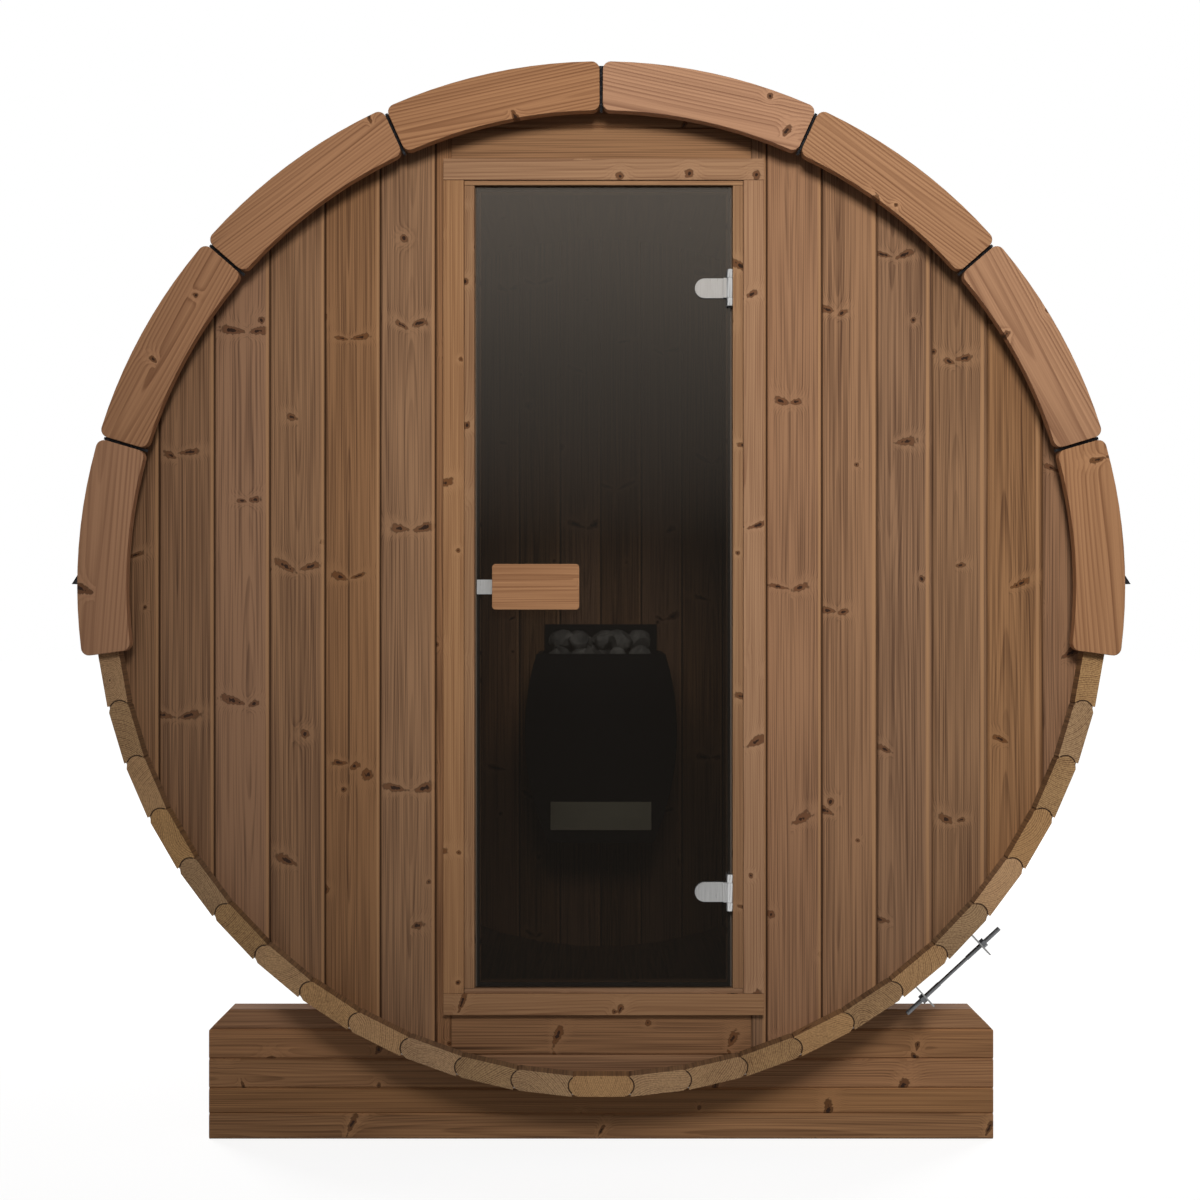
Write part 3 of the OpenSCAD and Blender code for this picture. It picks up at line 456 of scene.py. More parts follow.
def frame_boards(node, end, first):
    """Pieces of the door frame: uprights between a head and a sill that run through and are end high."""
    low, high = corners(node)
    mid_z = (low.z + high.z) / 2
    half_x = (high.x - low.x - end) / 2
    half_z = (high.z - low.z - end) / 2

    def lay(add, xyz):
        from_x = add("Math SUBTRACT", xyz[0], DOOR_MID_X)
        from_z = add("Math SUBTRACT", xyz[2], mid_z)
        out_x = add("Math ABSOLUTE", from_x)
        out_z = add("Math ABSOLUTE", from_z)
        level = add("Math GREATER_THAN", out_z, half_z - end / 2)
        side_x = add("Math SUBTRACT", out_x, half_x)
        side_z = add("Math SUBTRACT", out_z, half_z)
        hand_x = add("Math SIGN", from_x)
        hand_level = add("Math ADD", add("Math SIGN", from_z), 6.0)
        across = add("Mix FLOAT", {"Factor": level, "A": side_x, "B": side_z})
        along = add("Mix FLOAT", {"Factor": level, "A": xyz[2], "B": xyz[0]})
        number = add("Mix FLOAT", {"Factor": level, "A": hand_x, "B": hand_level})
        piece = add("Math ADD", number, first)
        depth = add("Math SUBTRACT", xyz[1], (low.y + high.y) / 2)
        return across, depth, along, piece, None, None
    return lay


def cradle_planks(add, xyz):
    """Cradle planks: five stacked on edge, running across the barrel."""
    sizes = bpy.context.scene.sauna_sizes
    plank = base = add("Value")
    top = 0.0
    for height in (sizes.low_plank, sizes.low_plank, sizes.plank, sizes.plank):
        top += height
        past = add("Math GREATER_THAN", xyz[2], top)
        plank = add("Math ADD", plank, past)
        base = add("Math MULTIPLY_ADD", past, height, base)
    across = add("Math SUBTRACT", xyz[2], base)
    behind = add("Math GREATER_THAN", xyz[1], 0.0)
    hand = add("Math SIGN", xyz[0])
    half = add("Math MULTIPLY", hand, add("Math GREATER_THAN", plank, 1.5))
    number = add("Math MULTIPLY_ADD", half, 10.0, plank)
    piece = add("Math MULTIPLY_ADD", behind, 40.0, number)
    depth = add("Math SUBTRACT", add("Math ABSOLUTE", xyz[1]), CRADLE_Y)
    return across, depth, xyz[0], piece, None, None


def handle_block(add, xyz):
    """One block with level grain."""
    across = add("Math SUBTRACT", xyz[2], AXIS_Z)
    depth = add("Math SUBTRACT", xyz[1], GLASS_LOW.y)
    return across, depth, xyz[0], FIRST_BOARD["handle"], None, None


def roofing(name, colours, sheets=False):
    """Bitumen felt faced with mineral chippings: black and quite dull, with a grit of paler grains.

    With sheets, each loose sheet of a piece has its own share of pale grains.
    The chippings are about a millimetre wide and are drawn three times as coarse to show.
    """
    material, add = new_material(name)
    place = add("TexCoord")["Object"]
    grit = add("TexVoronoi", {"Vector": place, "Scale": 330.0})
    chance = add("SeparateXYZ", grit["Color"])
    share = add("MapRange", chance[0], 0.6, 1.0)
    if sheets:
        tab = add("MapRange", add("NewGeometry")["Random Per Island"], 0.0, 1.0, -0.1, 0.4)
        share = add("Math ADD", share, tab, use_clamp=True)
    colour = add("Mix RGBA", {"Factor": share, "A": colours.felt, "B": colours.felt_grit})
    bump = add("Bump", {"Strength": 0.5, "Distance": 0.0008, "Height": grit["Distance"]})
    surface = add("BsdfPrincipled", {"Base Color": colour, "Roughness": 0.9, "IOR": 1.5, "Normal": bump})
    add("OutputMaterial", {"Surface": surface})
    return material


def steel(name, colour, roughness, brushing, bare=1.0):
    """Steel with fine scratches along its brushing: bright, with a soft stretched gloss.

    bare is the share of naked metal. The rest is a dull film of dust and lacquer.
    """
    material, add = new_material(name)
    place = add("TexCoord")["Object"]
    drawn = add("VectorMath MULTIPLY", place, brushing)
    scratch = add("TexNoise", {"Vector": drawn, "Scale": 1.0, "Detail": 2.0})
    rough = add("MapRange", scratch, 0.0, 1.0, roughness - 0.08, roughness + 0.1)
    worn = add("MapRange", scratch, 0.2, 0.8)
    shade = add("Mix RGBA", {"Factor": worn, "A": [0.82 * c for c in colour[:3]] + [1.0], "B": colour})
    bump = add("Bump", {"Strength": 0.12, "Distance": 0.0002, "Height": scratch})
    surface = add("BsdfPrincipled", {"Base Color": shade, "Metallic": bare, "Roughness": rough, "Normal": bump})
    add("OutputMaterial", {"Surface": surface})
    return material


def coat(name, colour, grain_scale, dull, strength, depth, ior):
    """A plain coat of one colour: a fine grain varies its gloss and stands out a little."""
    material, add = new_material(name)
    place = add("TexCoord")["Object"]
    grain = add("TexNoise", {"Vector": place, "Scale": grain_scale, "Detail": 1.0})
    rough = add("MapRange", grain, 0.0, 1.0, *dull)
    bump = add("Bump", {"Strength": strength, "Distance": depth, "Height": grain})
    surface = add("BsdfPrincipled", {"Base Color": colour, "Roughness": rough, "IOR": ior, "Normal": bump})
    add("OutputMaterial", {"Surface": surface})
    return material


def ease_edges(nodes, width):
    """Rounds the sharp edges of CAD nodes by live modifiers, leaving their own meshes alone."""
    for name in nodes:
        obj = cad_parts[name]
        weld = obj.modifiers.new("join_triangles", "WELD")
        weld.merge_threshold = 0.00002
        flat = obj.modifiers.new("join_flats", "DECIMATE")
        flat.decimate_type = "DISSOLVE"
        flat.angle_limit = math.radians(1.0)
        ease = obj.modifiers.new("eased_edges", "BEVEL")
        ease.width = width
        ease.segments = 2
        ease.limit_method = "ANGLE"
        ease.angle_limit = math.radians(40)
        ease.harden_normals = True


def settle(piece):
    """Puts a piece's place, turn and size into its mesh."""
    bpy.ops.object.select_all(action="DESELECT")
    piece.select_set(True)
    bpy.context.view_layer.objects.active = piece
    bpy.ops.object.transform_apply(location=True, rotation=True, scale=True)


def start(primitive, name, stretch=(1.0, 1.0, 1.0), **where):
    """Adds a primitive as a new piece, stretched to its size, with nothing else selected."""
    bpy.ops.object.select_all(action="DESELECT")
    getattr(bpy.ops.mesh, "primitive_" + primitive + "_add")(**where)
    piece = bpy.context.object
    piece.name = piece.data.name = name
    piece.scale = stretch
    settle(piece)
    return piece


def round_edges(piece, width, test):
    """Rounds those edges of the active piece that pass a test."""
    bpy.ops.object.mode_set(mode="EDIT")
    bpy.ops.mesh.select_mode(type="EDGE")
    bpy.ops.mesh.select_all(action="DESELECT")
    mesh = bmesh.from_edit_mesh(piece.data)
    for edge in mesh.edges:
        edge.select_set(test(edge))
    mesh.select_flush_mode()
    bmesh.update_edit_mesh(piece.data)
    bpy.ops.mesh.bevel(offset=width, segments=2)
    bpy.ops.object.mode_set(mode="OBJECT")


def close_sweep():
    """Welds the active piece's swept mesh and turns its faces outward."""
    bpy.ops.object.mode_set(mode="EDIT")
    bpy.ops.mesh.select_all(action="SELECT")
    bpy.ops.mesh.remove_doubles(threshold=0.00001)
    bpy.ops.mesh.normals_make_consistent(inside=False)
    bpy.ops.object.mode_set(mode="OBJECT")


def join(pieces, name):
    """Joins pieces into one, with their places put into its mesh."""
    bpy.ops.object.select_all(action="DESELECT")
    for piece in pieces:
        piece.select_set(True)
    bpy.context.view_layer.objects.active = pieces[0]
    bpy.ops.object.transform_apply(location=True, rotation=True, scale=True)
    bpy.ops.object.join()
    piece = bpy.context.object
    piece.name = piece.data.name = name
    return piece


def repeat(pattern, places, name):
    """Copies a pattern to each place, every copy with its own mesh, and joins the copies into one piece."""
    copies = []
    for place in places:
        bpy.ops.object.select_all(action="DESELECT")
        pattern.select_set(True)
        bpy.context.view_layer.objects.active = pattern
        bpy.ops.object.duplicate(linked=False)
        copy = bpy.context.object
        copy.matrix_world = place
        copies.append(copy)
    return join(copies, name)


def discard(*pieces):
    """Removes patterns that only served to be copied."""
    for piece in pieces:
        bpy.data.objects.remove(piece, do_unlink=True)


def finish_piece(piece, material, body):
    """Gives a piece its material, the body it moves with and the record's finish."""
    settle(piece)
    paint([piece], material)
    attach(piece, body)


def turned_about_axis(centre_z, angle):
    """A turn about the barrel's length through a height, clockwise as seen from the door."""
    lift = Matrix.Translation((0.0, 0.0, centre_z))
    return lift @ Matrix.Rotation(angle, 4, "Y") @ lift.inverted()


def lamp(kind, name, place, aim, energy, glossy, **shape):
    """Adds a lamp that the camera doesn't see, turned towards a point. glossy lets it show in reflections."""
    bpy.ops.object.light_add(type=kind, location=place)
    light = bpy.context.object
    light.name = name
    light.data.energy = energy
    for key, value in shape.items():
        setattr(light.data, key, value)
    light.visible_camera = False
    light.visible_glossy = glossy
    light.rotation_euler = (Vector(aim) - light.location).to_track_quat("-Z", "Y").to_euler()


class Step:
    """What every step shares: it builds by the scene's own sizes and colours."""

    def execute(self, context):
        self.build(context.scene.sauna_sizes, context.scene.sauna_colours)
        return {"FINISHED"}


class SAUNA_OT_dress_barrel(Step, bpy.types.Operator):
    """Gives the staves, the end walls and the posts their heat-treated softwood"""
    bl_idname = "sauna.dress_barrel"
    bl_label = "Staves and End Walls"

    def build(self, sizes, colours):
        softwood_group(colours)
        paint(STAVES, timber("softwood_stave_planed_sawn_ends", stave_boards, "stave", knots=0.45, pith=0.12,
                             ends="end"))
        front = timber("softwood_wall_board_planed", upright_boards(BAY_HALF, FIRST_BOARD["front"]), "wall",
                       knots=0.75)
        back = timber("softwood_back_board_planed", upright_boards(0.0, FIRST_BOARD["back"]), "wall", knots=0.75)
        level = timber("softwood_level_board_planed", level_boards, "wall", knots=0.7)
        paint(["front_wall_left", "front_wall_right", "door_posts"], front)
        paint(["back_wall_left", "back_wall_right"], back)
        paint(["wall_above_door", "wall_below_door"], level)


class SAUNA_OT_build_tongues(Step, bpy.types.Operator):
    """Sets the loose tongues that close the joints of the end walls against light and draught"""
    bl_idname = "sauna.build_tongues"
    bl_label = "Wall Tongues"

    def build(self, sizes, colours):
        wide, thick, short = 0.007, 0.008, 0.01   # a level tongue ends short of its joint on both sides
        reach = STAVE_OUTER - STAVE_THICK - 0.001
        tongue = start("cube", "tongue", (wide, thick, 1.0), size=1.0)
        round_edges(tongue, 0.0012, lambda e: abs(e.verts[0].co.z - e.verts[1].co.z) > 0.5)
        places = []
        for y, begin in ((WALL_MID_Y, BAY_HALF), (-WALL_MID_Y, 0.0)):
            for n in range(int((reach - begin) / sizes.board_pitch) + 1):
                x = begin + n * sizes.board_pitch
                length = 2 * math.sqrt(reach ** 2 - x ** 2)
                for joint in {x, -x}:
                    stretch = Matrix.Diagonal((1.0, 1.0, length, 1.0))
                    places.append(Matrix.Translation((joint, y, AXIS_Z)) @ stretch)
        low, high = corners("wall_above_door")
        for z in (sizes.level_joint_low, sizes.level_joint_high):
            stretch = Matrix.Diagonal((1.0, 1.0, high.x - low.x - 2 * short, 1.0))
            level = Matrix.Rotation(math.pi / 2, 4, "Y") @ stretch
            places.append(Matrix.Translation((0.0, WALL_MID_Y, z)) @ level)
        piece = repeat(tongue, places, "wall_tongues")
        discard(tongue)
        finish_piece(piece, bpy.data.materials["softwood_back_board_planed"], "barrel")


class SAUNA_OT_dress_frame(Step, bpy.types.Operator):
    """Gives the door's jambs, stops and casing their paler softwood and eased edges"""
    bl_idname = "sauna.dress_frame"
    bl_label = "Door Frame"

    def build(self, sizes, colours):
        for node, head in FRAME_HEADS.items():
            paint([node], timber("softwood_" + node + "_planed", frame_boards(node, head, FIRST_BOARD[node]),
                                 "frame", knots=0.95, contrast=0.35, pith=0.06, grain=0.6, pins=7.0))
        ease_edges(["door_casing", "door_jamb"], sizes.edge_ease)


class SAUNA_OT_dress_trim(Step, bpy.types.Operator):
    """Gives the arched trim boards their grain along the chord and sets roofing felt behind their gaps"""
    bl_idname = "sauna.dress_trim"
    bl_label = "Trim Boards"

    def build(self, sizes, colours):
        paint(TRIMS, timber("softwood_trim_board_planed", trim_boards, "trim", knots=0.45, ring=0.0066,
                            contrast=0.58, pith=0.05, grain=0.36))
        ease_edges(TRIMS, sizes.edge_ease)

        # A strip of roofing felt shows black in each gap and fills its rear half.
        low = corners("front_trim_right")[0]
        centre_z = AXIS_Z + sizes.trim_rise
        outer = ROOF_TOP - centre_z
        inner = STAVE_OUTER - TRIM_REACH
        deep, set_in, play = 0.014, 0.020, 0.0004   # its depth, its middle behind the trim's face, its looseness
        strip = start("cube", "felt_strip", (sizes.trim_gap - play, deep, outer - inner), size=1.0,
                      location=(0.0, low.y + set_in, centre_z + (outer + inner) / 2))
        round_edges(strip, 0.0015, lambda e: all(v.co.y < low.y + TRIM_THICK / 2 for v in e.verts))
        back = Matrix.Rotation(math.pi, 4, "Z")
        gaps = [turned_about_axis(centre_z, n * sizes.trim_angle) for n in range(-3, 4)]
        piece = repeat(strip, gaps + [back @ gap for gap in gaps], "trim_gap_felt")
        discard(strip)
        finish_piece(piece, roofing("bitumen_felt_cut_edge", colours), "barrel")


class SAUNA_OT_dress_cradles(Step, bpy.types.Operator):
    """Gives the cradles their dark planks"""
    bl_idname = "sauna.dress_cradles"
    bl_label = "Cradles"

    def build(self, sizes, colours):
        paint(["front_cradle", "rear_cradle"],
              timber("softwood_plank_oiled", cradle_planks, "cradle", knots=0.7, contrast=0.34, grain=0.6))


class SAUNA_OT_build_roofing(Step, bpy.types.Operator):
    """Covers the roof with lapped bitumen shingles and a row of ridge caps"""
    bl_idname = "sauna.build_roofing"
    bl_label = "Roofing"

    def build(self, sizes, colours):
        paint(["roof_cover", "roof_drip_left", "roof_drip_right"], roofing("bitumen_felt_mineral_faced", colours))
        material = roofing("bitumen_shingle_mineral_faced", colours, sheets=True)
        centre_z = AXIS_Z + sizes.trim_rise
        radius = ROOF_TOP - centre_z
        courses = round(radius * math.pi / 2 / sizes.course)
        eaves = math.radians(89.5)
        step = eaves / courses
        bent = step + 0.03 / radius   # a course's arc with the part that the next one laps
        slot = 0.005   # gap between two sheets of a course
        length = 2 * (STAVE_END - 0.001)
        tab = length / (round(length / sizes.tab) + 0.5)

        def shingle(name, width, base, span):
            """A bent sheet that starts over the roof's top and runs span down towards -X."""
            sheet = start("plane", name, (sizes.shingle, width - slot, 1.0), size=1.0,
                          rotation=(0.0, math.pi / 2, 0.0),
                          location=(0.0, 0.0, centre_z + radius + base + sizes.shingle / 2))
            bpy.ops.object.mode_set(mode="EDIT")
            bpy.ops.mesh.select_all(action="SELECT")
            bpy.ops.mesh.spin(steps=4, angle=span, center=(0.0, 0.0, centre_z), axis=(0.0, 1.0, 0.0))
            close_sweep()
            return sheet

        # Each course tips up from its upper edge, so that its lower edge lies over the course below.
        whole = shingle("shingle_tab", tab, 0.0001, bent)
        half = shingle("shingle_half_tab", tab / 2, 0.0001, bent)
        upper = turned_about_axis(centre_z, -bent) @ Vector((0.0, 0.0, centre_z + radius))
        hinge = Matrix.Translation(upper)
        tip = hinge @ Matrix.Rotation(sizes.shingle * 1.3 / (bent * radius), 4, "Y") @ hinge.inverted()
        back = Matrix.Rotation(math.pi, 4, "Z")
        wholes, halves = [], []
        for course in range(courses):
            lower = turned_about_axis(centre_z, eaves - course * step)
            left = -length / 2 + (tab / 2 if course % 2 else 0.0)
            for n in range(round(length / tab - 0.5)):
                place = Matrix.Translation((0.0, left + (n + 0.5) * tab, 0.0)) @ lower @ tip
                wholes += [place, back @ place]
            short = -length / 2 + tab / 4 if course % 2 else length / 2 - tab / 4
            place = Matrix.Translation((0.0, short, 0.0)) @ lower @ tip
            halves += [place, back @ place]
        rows = repeat(whole, wholes, "roof_shingles")
        ends = repeat(half, halves, "roof_half_shingles")
        cap_count, cap_span = 6, 0.18 / radius
        cap = shingle("ridge_cap", length / cap_count, 0.0043, cap_span)
        level = turned_about_axis(centre_z, cap_span / 2)
        along = [length * ((n + 0.5) / cap_count - 0.5) for n in range(cap_count)]
        caps = repeat(cap, [Matrix.Translation((0.0, y, 0.0)) @ level for y in along], "ridge_caps")
        discard(whole, half, cap)
        for piece in (rows, ends, caps):
            finish_piece(piece, material, "barrel")


class SAUNA_OT_build_seal(Step, bpy.types.Operator):
    """Lays the rubber strip on the stop that the glass closes against"""
    bl_idname = "sauna.build_seal"
    bl_label = "Door Seal"

    def build(self, sizes, colours):
        low, high = corners("door_stop")
        inset, bed = 0.002, 0.0003   # less than the stop's width, and into its face
        middle, size = (low + high) / 2, high - low
        ring = start("plane", "door_seal", (size.x - inset, size.z - inset, 1.0), size=1.0,
                     rotation=(math.pi / 2, 0.0, 0.0), location=(middle.x, low.y, middle.z))
        bpy.ops.object.mode_set(mode="EDIT")
        bpy.ops.mesh.select_all(action="SELECT")
        bpy.ops.mesh.inset(thickness=sizes.seal)
        bpy.ops.mesh.delete(type="FACE")
        bpy.ops.mesh.select_all(action="SELECT")
        reach = GLASS_HIGH.y - low.y + bed
        bpy.ops.mesh.extrude_region_move(TRANSFORM_OT_translate={"value": (0.0, reach, 0.0)})
        bpy.ops.mesh.select_all(action="SELECT")
        bpy.ops.mesh.normals_make_consistent(inside=False)
        round_edges(ring, 0.0016, lambda e: all(v.co.y < low.y + reach / 2 for v in e.verts))

        # Moulded rubber: dull grey-brown with a faint grain.
        material = coat("door_seal_moulded_rubber", colours.rubber, 900.0, (0.6, 0.85), 0.2, 0.0002, 1.52)
        finish_piece(ring, material, "barrel")


class SAUNA_OT_dress_door(Step, bpy.types.Operator):
    """Gives the door its tinted glass and its wooden handle"""
    bl_idname = "sauna.dress_door"
    bl_label = "Door"

    def build(self, sizes, colours):
        # Toughened tinted glass: a dark clear sheet with faint wiping marks and brighter ground edges.
        material, add = new_material("tinted_glass_toughened")
        place = add("TexCoord")["Object"]
        wiped = add("VectorMath MULTIPLY", place, (2.0, 2.0, 5.0))
        smear = add("TexNoise", {"Vector": wiped, "Scale": 1.0, "Detail": 1.0})
        rough = add("MapRange", smear, 0.35, 0.7, 0.004, 0.012)
        facing = add("SeparateXYZ", add("NewGeometry")["True Normal"])
        flat = add("Math COMPARE", facing[2], 0.0, 0.5)
        alpha = add("MapRange", flat, 0.0, 1.0, 0.9, 0.5)
        surface = add("BsdfPrincipled", {"Base Color": colours.glass, "Roughness": rough, "IOR": 1.5,
                                         "Specular IOR Level": 1.0, "Coat Weight": 1.0, "Alpha": alpha})
        add("OutputMaterial", {"Surface": surface})
        paint(["door_glass"], material)

        paint(["outer_handle", "inner_handle"],
              timber("softwood_handle_sanded", handle_block, "trim", knots=0.9, ring=0.0045, contrast=0.32,
                     pith=0.06, grain=0.5))
        ease_edges(["outer_handle", "inner_handle"], sizes.edge_ease)


class SAUNA_OT_dress_steel(Step, bpy.types.Operator):
    """Gives hinges, catch, bands and rods their steel, and cuts the rods' threads"""
    bl_idname = "sauna.dress_steel"
    bl_label = "Steelwork"

    def build(self, sizes, colours):
        satin = steel("stainless_steel_satin", colours.steel, 0.30, (600.0, 600.0, 25.0))
        hinges = [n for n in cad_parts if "hinge" in n]
        paint(hinges + ["catch_plate"], satin)
        ease_edges(hinges + ["catch_plate"], 0.0006)
        strip = steel("stainless_steel_strip_rolled", colours.band, 0.34, (25.0, 600.0, 25.0))
        paint(["front_band", "rear_band"], strip)
        zinc = steel("rod_steel_zinc_plated", colours.rod, 0.38, (300.0, 300.0, 300.0))
        rods = ["front_tensioner", "rear_tensioner"]
        paint(rods, zinc)

        # A rod's thread: a small ridge wound up both ends of the rod, from bare to reach off its middle.
        reach, bare, core = 0.127, 0.039, 0.0043
        ridge = start("circle", "thread_ridge", vertices=3, radius=sizes.thread_pitch * 0.42, fill_type="NGON",
                      location=(core, 0.0, 0.0), rotation=(math.pi / 2, 0.0, 0.0))
        wind = ridge.modifiers.new("wind", "SCREW")
        wind.axis = "Z"
        wind.screw_offset = sizes.thread_pitch
        wind.iterations = int((reach - bare) / sizes.thread_pitch)
        wind.steps = wind.render_steps = 10
        bpy.ops.object.modifier_apply(modifier="wind")
        close_sweep()
        for rod in rods:
            low, high = corners(rod)
            middle = (low + high) / 2
            angle = math.atan2(middle.x, AXIS_Z - middle.z)
            lay = Matrix.Translation(middle) @ Matrix.Rotation(math.pi / 2 - angle, 4, "Y")
            ends = [lay @ Matrix.Translation((0.0, 0.0, bare)), lay @ Matrix.Translation((0.0, 0.0, -reach))]
            piece = repeat(ridge, ends, rod + "_threads")
            finish_piece(piece, zinc, "barrel")
        discard(ridge)


class SAUNA_OT_build_stove(Step, bpy.types.Operator):
    """Enamels the stove and fills its basket with split stones"""
    bl_idname = "sauna.build_stove"
    bl_label = "Stove"

    def build(self, sizes, colours):
        # Heat-proof enamel: black, half dull, with a faint orange-peel surface.
        enamel = coat("stove_enamel_sprayed", colours.enamel, 350.0, (0.38, 0.55), 0.25, 0.0004, 1.5)
        paint(["stove_body", "stove_plate"], enamel)
        ease_edges(["stove_body"], 0.0015)
        paint(["stove_panel"], steel("stove_panel_brushed_sheet", colours.panel, 0.3, (20.0, 600.0, 600.0), 0.4))

        # Split stones: grey, speckled with dark crystals, rough.
        material, add = new_material("stove_stone_split_rock")
        place = add("TexCoord")["Object"]
        crystal = add("TexNoise", {"Vector": place, "Scale": 320.0, "Detail": 2.0})
        cloud = add("TexNoise", {"Vector": place, "Scale": 22.0, "Detail": 2.0})
        speck = add("Math MULTIPLY_ADD", crystal, 0.7, cloud)
        share = add("MapRange", speck, 0.6, 1.1)
        rock = add("Mix RGBA", {"Factor": share, "A": colours.stone_dark, "B": colours.stone_pale})
        bump = add("Bump", {"Strength": 0.5, "Distance": 0.002, "Height": crystal})
        surface = add("BsdfPrincipled", {"Base Color": rock, "Roughness": 0.85, "IOR": 1.5, "Normal": bump})
        add("OutputMaterial", {"Surface": surface})

        luck = random.Random(11)
        kinds, cuts, rows, seats = 6, 7, 5, 7
        patterns = []
        for n in range(kinds):
            stone = start("ico_sphere", "stone_pattern", subdivisions=2, radius=1.0)
            bpy.ops.object.mode_set(mode="EDIT")
            for cut in range(cuts):
                normal = Vector((luck.uniform(-1, 1), luck.uniform(-1, 1), luck.uniform(-1, 1))).normalized()
                bpy.ops.mesh.select_all(action="SELECT")
                bpy.ops.mesh.bisect(plane_co=normal * luck.uniform(0.55, 0.8), plane_no=normal, use_fill=True,
                                    clear_outer=True)
            bpy.ops.mesh.select_all(action="SELECT")
            bpy.ops.mesh.dissolve_limited(angle_limit=math.radians(12))
            bpy.ops.mesh.select_all(action="SELECT")
            bpy.ops.mesh.remove_doubles(threshold=0.06)
            bpy.ops.mesh.bevel(offset=0.05, segments=1, clamp_overlap=True)
            bpy.ops.object.mode_set(mode="OBJECT")
            patterns.append(stone)

        # The stones lie in layers in the basket and heap up to the crown that the solid gives.
        # Near the rim they keep off the basket's ends.
        low, high = corners("stove_stones")
        middle = (low + high) / 2
        half = (high - low) / 2
        rim = corners("stove_body")[1].z
        sunk, near = 0.01, 0.03   # under the rim: where the heap starts, and where its ends draw in
        layers = []
        level = low.z + sizes.stone * 0.42
        while level < high.z:
            for row in range(rows):
                for seat in range(seats):
                    spot = Vector(((seat - seats // 2 + luck.uniform(-0.25, 0.25)) / (seats / 2) * half.x,
                                   (row - rows // 2 + luck.uniform(-0.25, 0.25)) / (rows / 2) * half.y, 0.0))
                    size = sizes.stone * luck.uniform(0.40, 0.56)
                    dome = (1 - (spot.x / half.x) ** 8) * (1 - (spot.y / half.y) ** 8)
                    crown = rim - sunk + (high.z - rim + sunk) * dome
                    room = half.x * (0.88 if level > rim - near else 1.0)
                    inside = abs(spot.x) + size < room and abs(spot.y) + size < half.y
                    if inside and level + size * 0.4 < crown:
                        turn = Euler([luck.uniform(0, math.tau) for axis in range(3)]).to_matrix().to_4x4()
                        place = Matrix.Translation((middle.x + spot.x, middle.y + spot.y, level)) @ turn
                        layers.append((luck.randrange(kinds), place @ Matrix.Scale(size, 4)))
            level += sizes.stone * 0.62
        heaps = [repeat(patterns[n], [place for kind, place in layers if kind == n], "stones")
                 for n in range(kinds)]
        heap = join(heaps, "stone_heap")
        discard(*patterns)
        finish_piece(heap, material, "barrel")
        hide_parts("stove_stones")


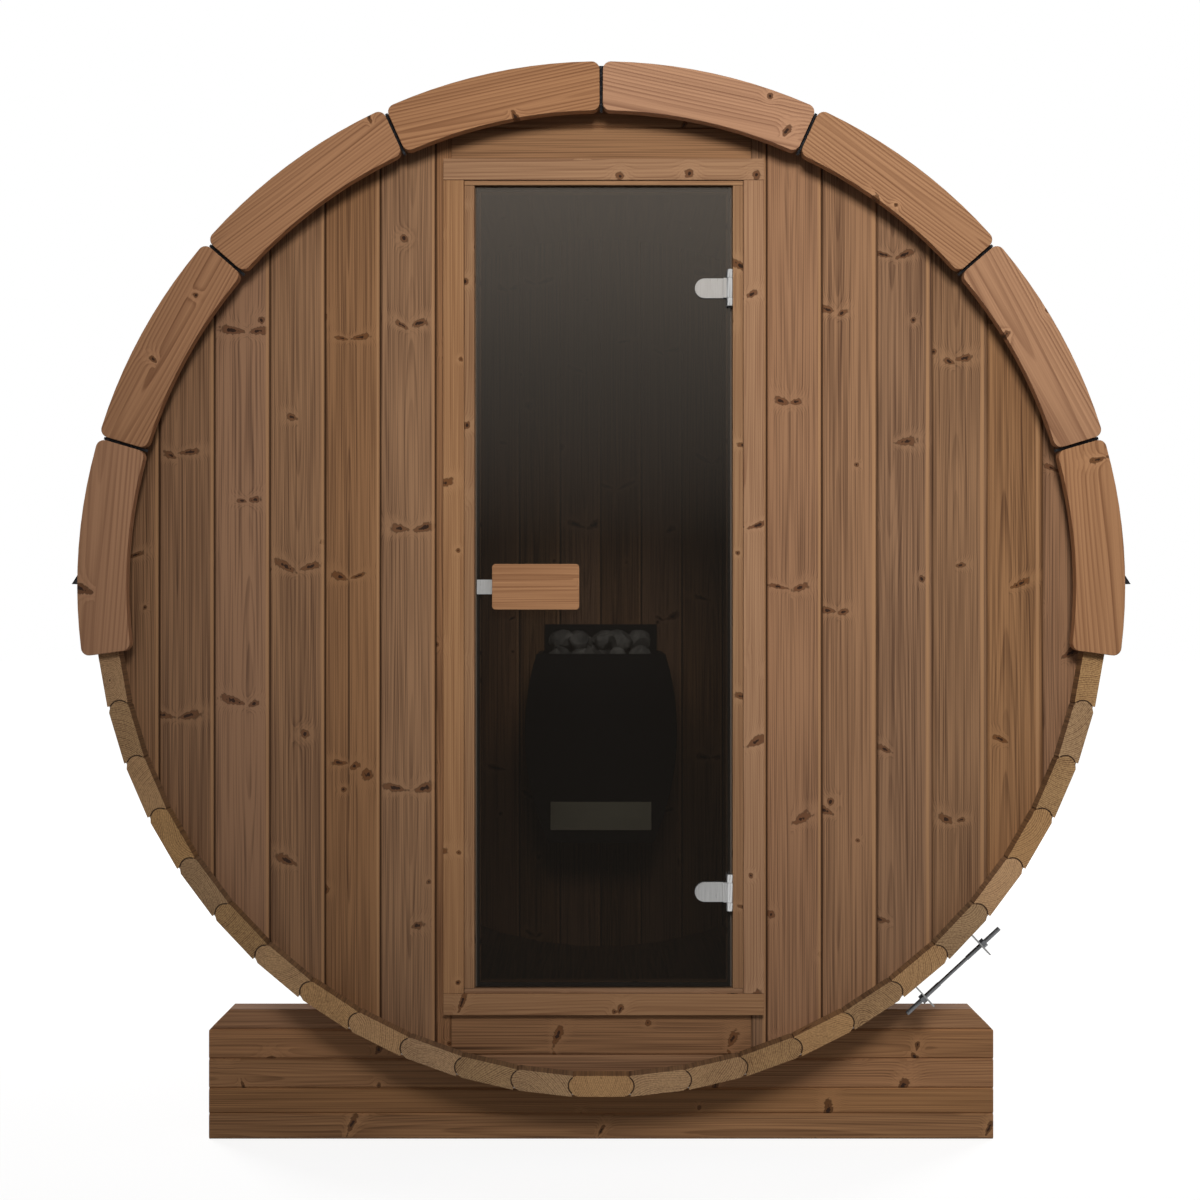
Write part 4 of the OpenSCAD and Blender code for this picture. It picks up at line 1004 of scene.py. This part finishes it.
class SAUNA_OT_set_stage(Step, bpy.types.Operator):
    """Sets the floor, the lamps, the white surroundings and the camera"""
    bl_idname = "sauna.set_stage"
    bl_label = "Studio Stage"

    def build(self, sizes, colours):
        scene = bpy.context.scene
        scene.view_settings.view_transform = "Standard"

        floor = start("plane", "studio_floor", (60.0, 60.0, 1.0), size=1.0)
        material, add = new_material("studio_floor_matt_paint")
        rays = add("LightPath")
        seen = add("Math MAXIMUM", rays["Is Camera Ray"], rays["Is Transmission Ray"])
        paint_coat = add("BsdfDiffuse", {"Color": colours.floor})
        spot = add("VectorMath LENGTH", add("TexCoord")["Object"])
        fade = add("MapRange", spot, 1.5, 4.5, 0.86, 1.0, interpolation_type="SMOOTHSTEP")
        white = add("Emission", {"Color": (1.0, 1.0, 1.0, 1.0), "Strength": fade})
        both = add("AddShader", paint_coat, white)
        look = add("MixShader", seen, paint_coat, both)
        add("OutputMaterial", {"Surface": look})
        paint([floor], material)
        floor.visible_glossy = False

        world = bpy.data.worlds.new("white_studio")
        world.use_nodes = True
        world.node_tree.nodes.clear()
        add = partial(add_node, world.node_tree)
        rays = add("LightPath")
        seen = add("Math MAXIMUM", rays["Is Camera Ray"], rays["Is Glossy Ray"])
        seen = add("Math MAXIMUM", seen, rays["Is Transmission Ray"])
        level = add("MapRange", seen, 0.0, 1.0, 0.22, 1.0)
        sky = add("Background", {"Color": (1.0, 1.0, 1.0, 1.0), "Strength": level})
        add("OutputWorld", {"Surface": sky})
        scene.world = world

        # The key is a wide spot high behind the camera that fades to the left and down.
        lamp("SPOT", "key_lamp", (0.3, -5.7, 3.4), (0.5, -0.7, 1.8), 945.0, False,
             spot_size=math.radians(46.0), spot_blend=1.0, shadow_soft_size=0.7)

        # Two wide soft lamps light the back and the sides.
        for name, place in (("rear_lamp_left", (-4.0, 3.6, 2.8)), ("rear_lamp_right", (4.0, 3.6, 2.4))):
            lamp("AREA", name, place, (0.0, 0.0, 1.1), 140.0, True, size=2.0)

        # A weak lamp inside the cabin shows the stove and its stones through the glass.
        lamp("AREA", "cabin_lamp", (0.0, 0.0, 1.38), (0.0, 0.5, 1.0), 0.27, False,
             size=0.2, spread=math.radians(70))

        # A narrow card behind the camera, bright at its top, gives the door's glass its fading reflection.
        card = start("plane", "reflection_card", (1.3, 6.0, 1.0), size=1.0, location=(0.0, -5.2, 1.1),
                     rotation=(math.pi / 2, 0.0, 0.0))
        material, add = new_material("reflection_card_graded")
        height = add("SeparateXYZ", add("TexCoord")["Object"])
        share = add("MapRange", height[2], -0.4, 3.2)
        grade = add("ValToRGB", share)
        ramp = grade[0].node.color_ramp
        ramp.elements.remove(ramp.elements[1])
        for at, level in ((0.0, 0.08), (0.3, 0.06), (0.5, 0.09), (0.74, 0.55), (0.92, 1.0)):
            stop = ramp.elements[0] if at == 0.0 else ramp.elements.new(at)
            stop.color = (level, level * 0.86, level * 0.72, 1.0)
        glow = add("Emission", {"Color": grade, "Strength": 1.06})
        add("OutputMaterial", {"Surface": glow})
        paint([card], material)
        for ray in ("camera", "diffuse", "transmission", "volume_scatter", "shadow"):
            setattr(card, "visible_" + ray, False)

        bpy.ops.object.camera_add(location=(-0.0024, -4.528, 1.144), rotation=(math.pi / 2, 0.0, 0.0))
        camera = bpy.context.object
        camera.data.lens = 56.25
        camera.data.sensor_width = 36.0
        scene.camera = camera


class SAUNA_PT_dresser(bpy.types.Panel):
    """Lists the steps that dress the sauna"""
    bl_idname = "SAUNA_PT_dresser"
    bl_label = "Barrel Sauna"
    bl_space_type = "VIEW_3D"
    bl_region_type = "UI"
    bl_category = "Sauna"

    def draw(self, context):
        for step in STEPS:
            self.layout.operator(step.bl_idname)


STEPS = (
    SAUNA_OT_dress_barrel,
    SAUNA_OT_build_tongues,
    SAUNA_OT_dress_frame,
    SAUNA_OT_build_seal,
    SAUNA_OT_dress_door,
    SAUNA_OT_dress_trim,
    SAUNA_OT_build_roofing,
    SAUNA_OT_dress_steel,
    SAUNA_OT_dress_cradles,
    SAUNA_OT_build_stove,
    SAUNA_OT_set_stage,
)
CLASSES = (SaunaSizes, SaunaColours) + STEPS + (SAUNA_PT_dresser,)


def register():
    for each in CLASSES:
        bpy.utils.register_class(each)
    bpy.types.Scene.sauna_sizes = bpy.props.PointerProperty(type=SaunaSizes)
    bpy.types.Scene.sauna_colours = bpy.props.PointerProperty(type=SaunaColours)


def unregister():
    del bpy.types.Scene.sauna_colours
    del bpy.types.Scene.sauna_sizes
    for each in reversed(CLASSES):
        bpy.utils.unregister_class(each)


def main():
    register()
    for step in STEPS:
        group, name = step.bl_idname.split(".")
        getattr(getattr(bpy.ops, group), name)()


if __name__ == "__main__":
    main()
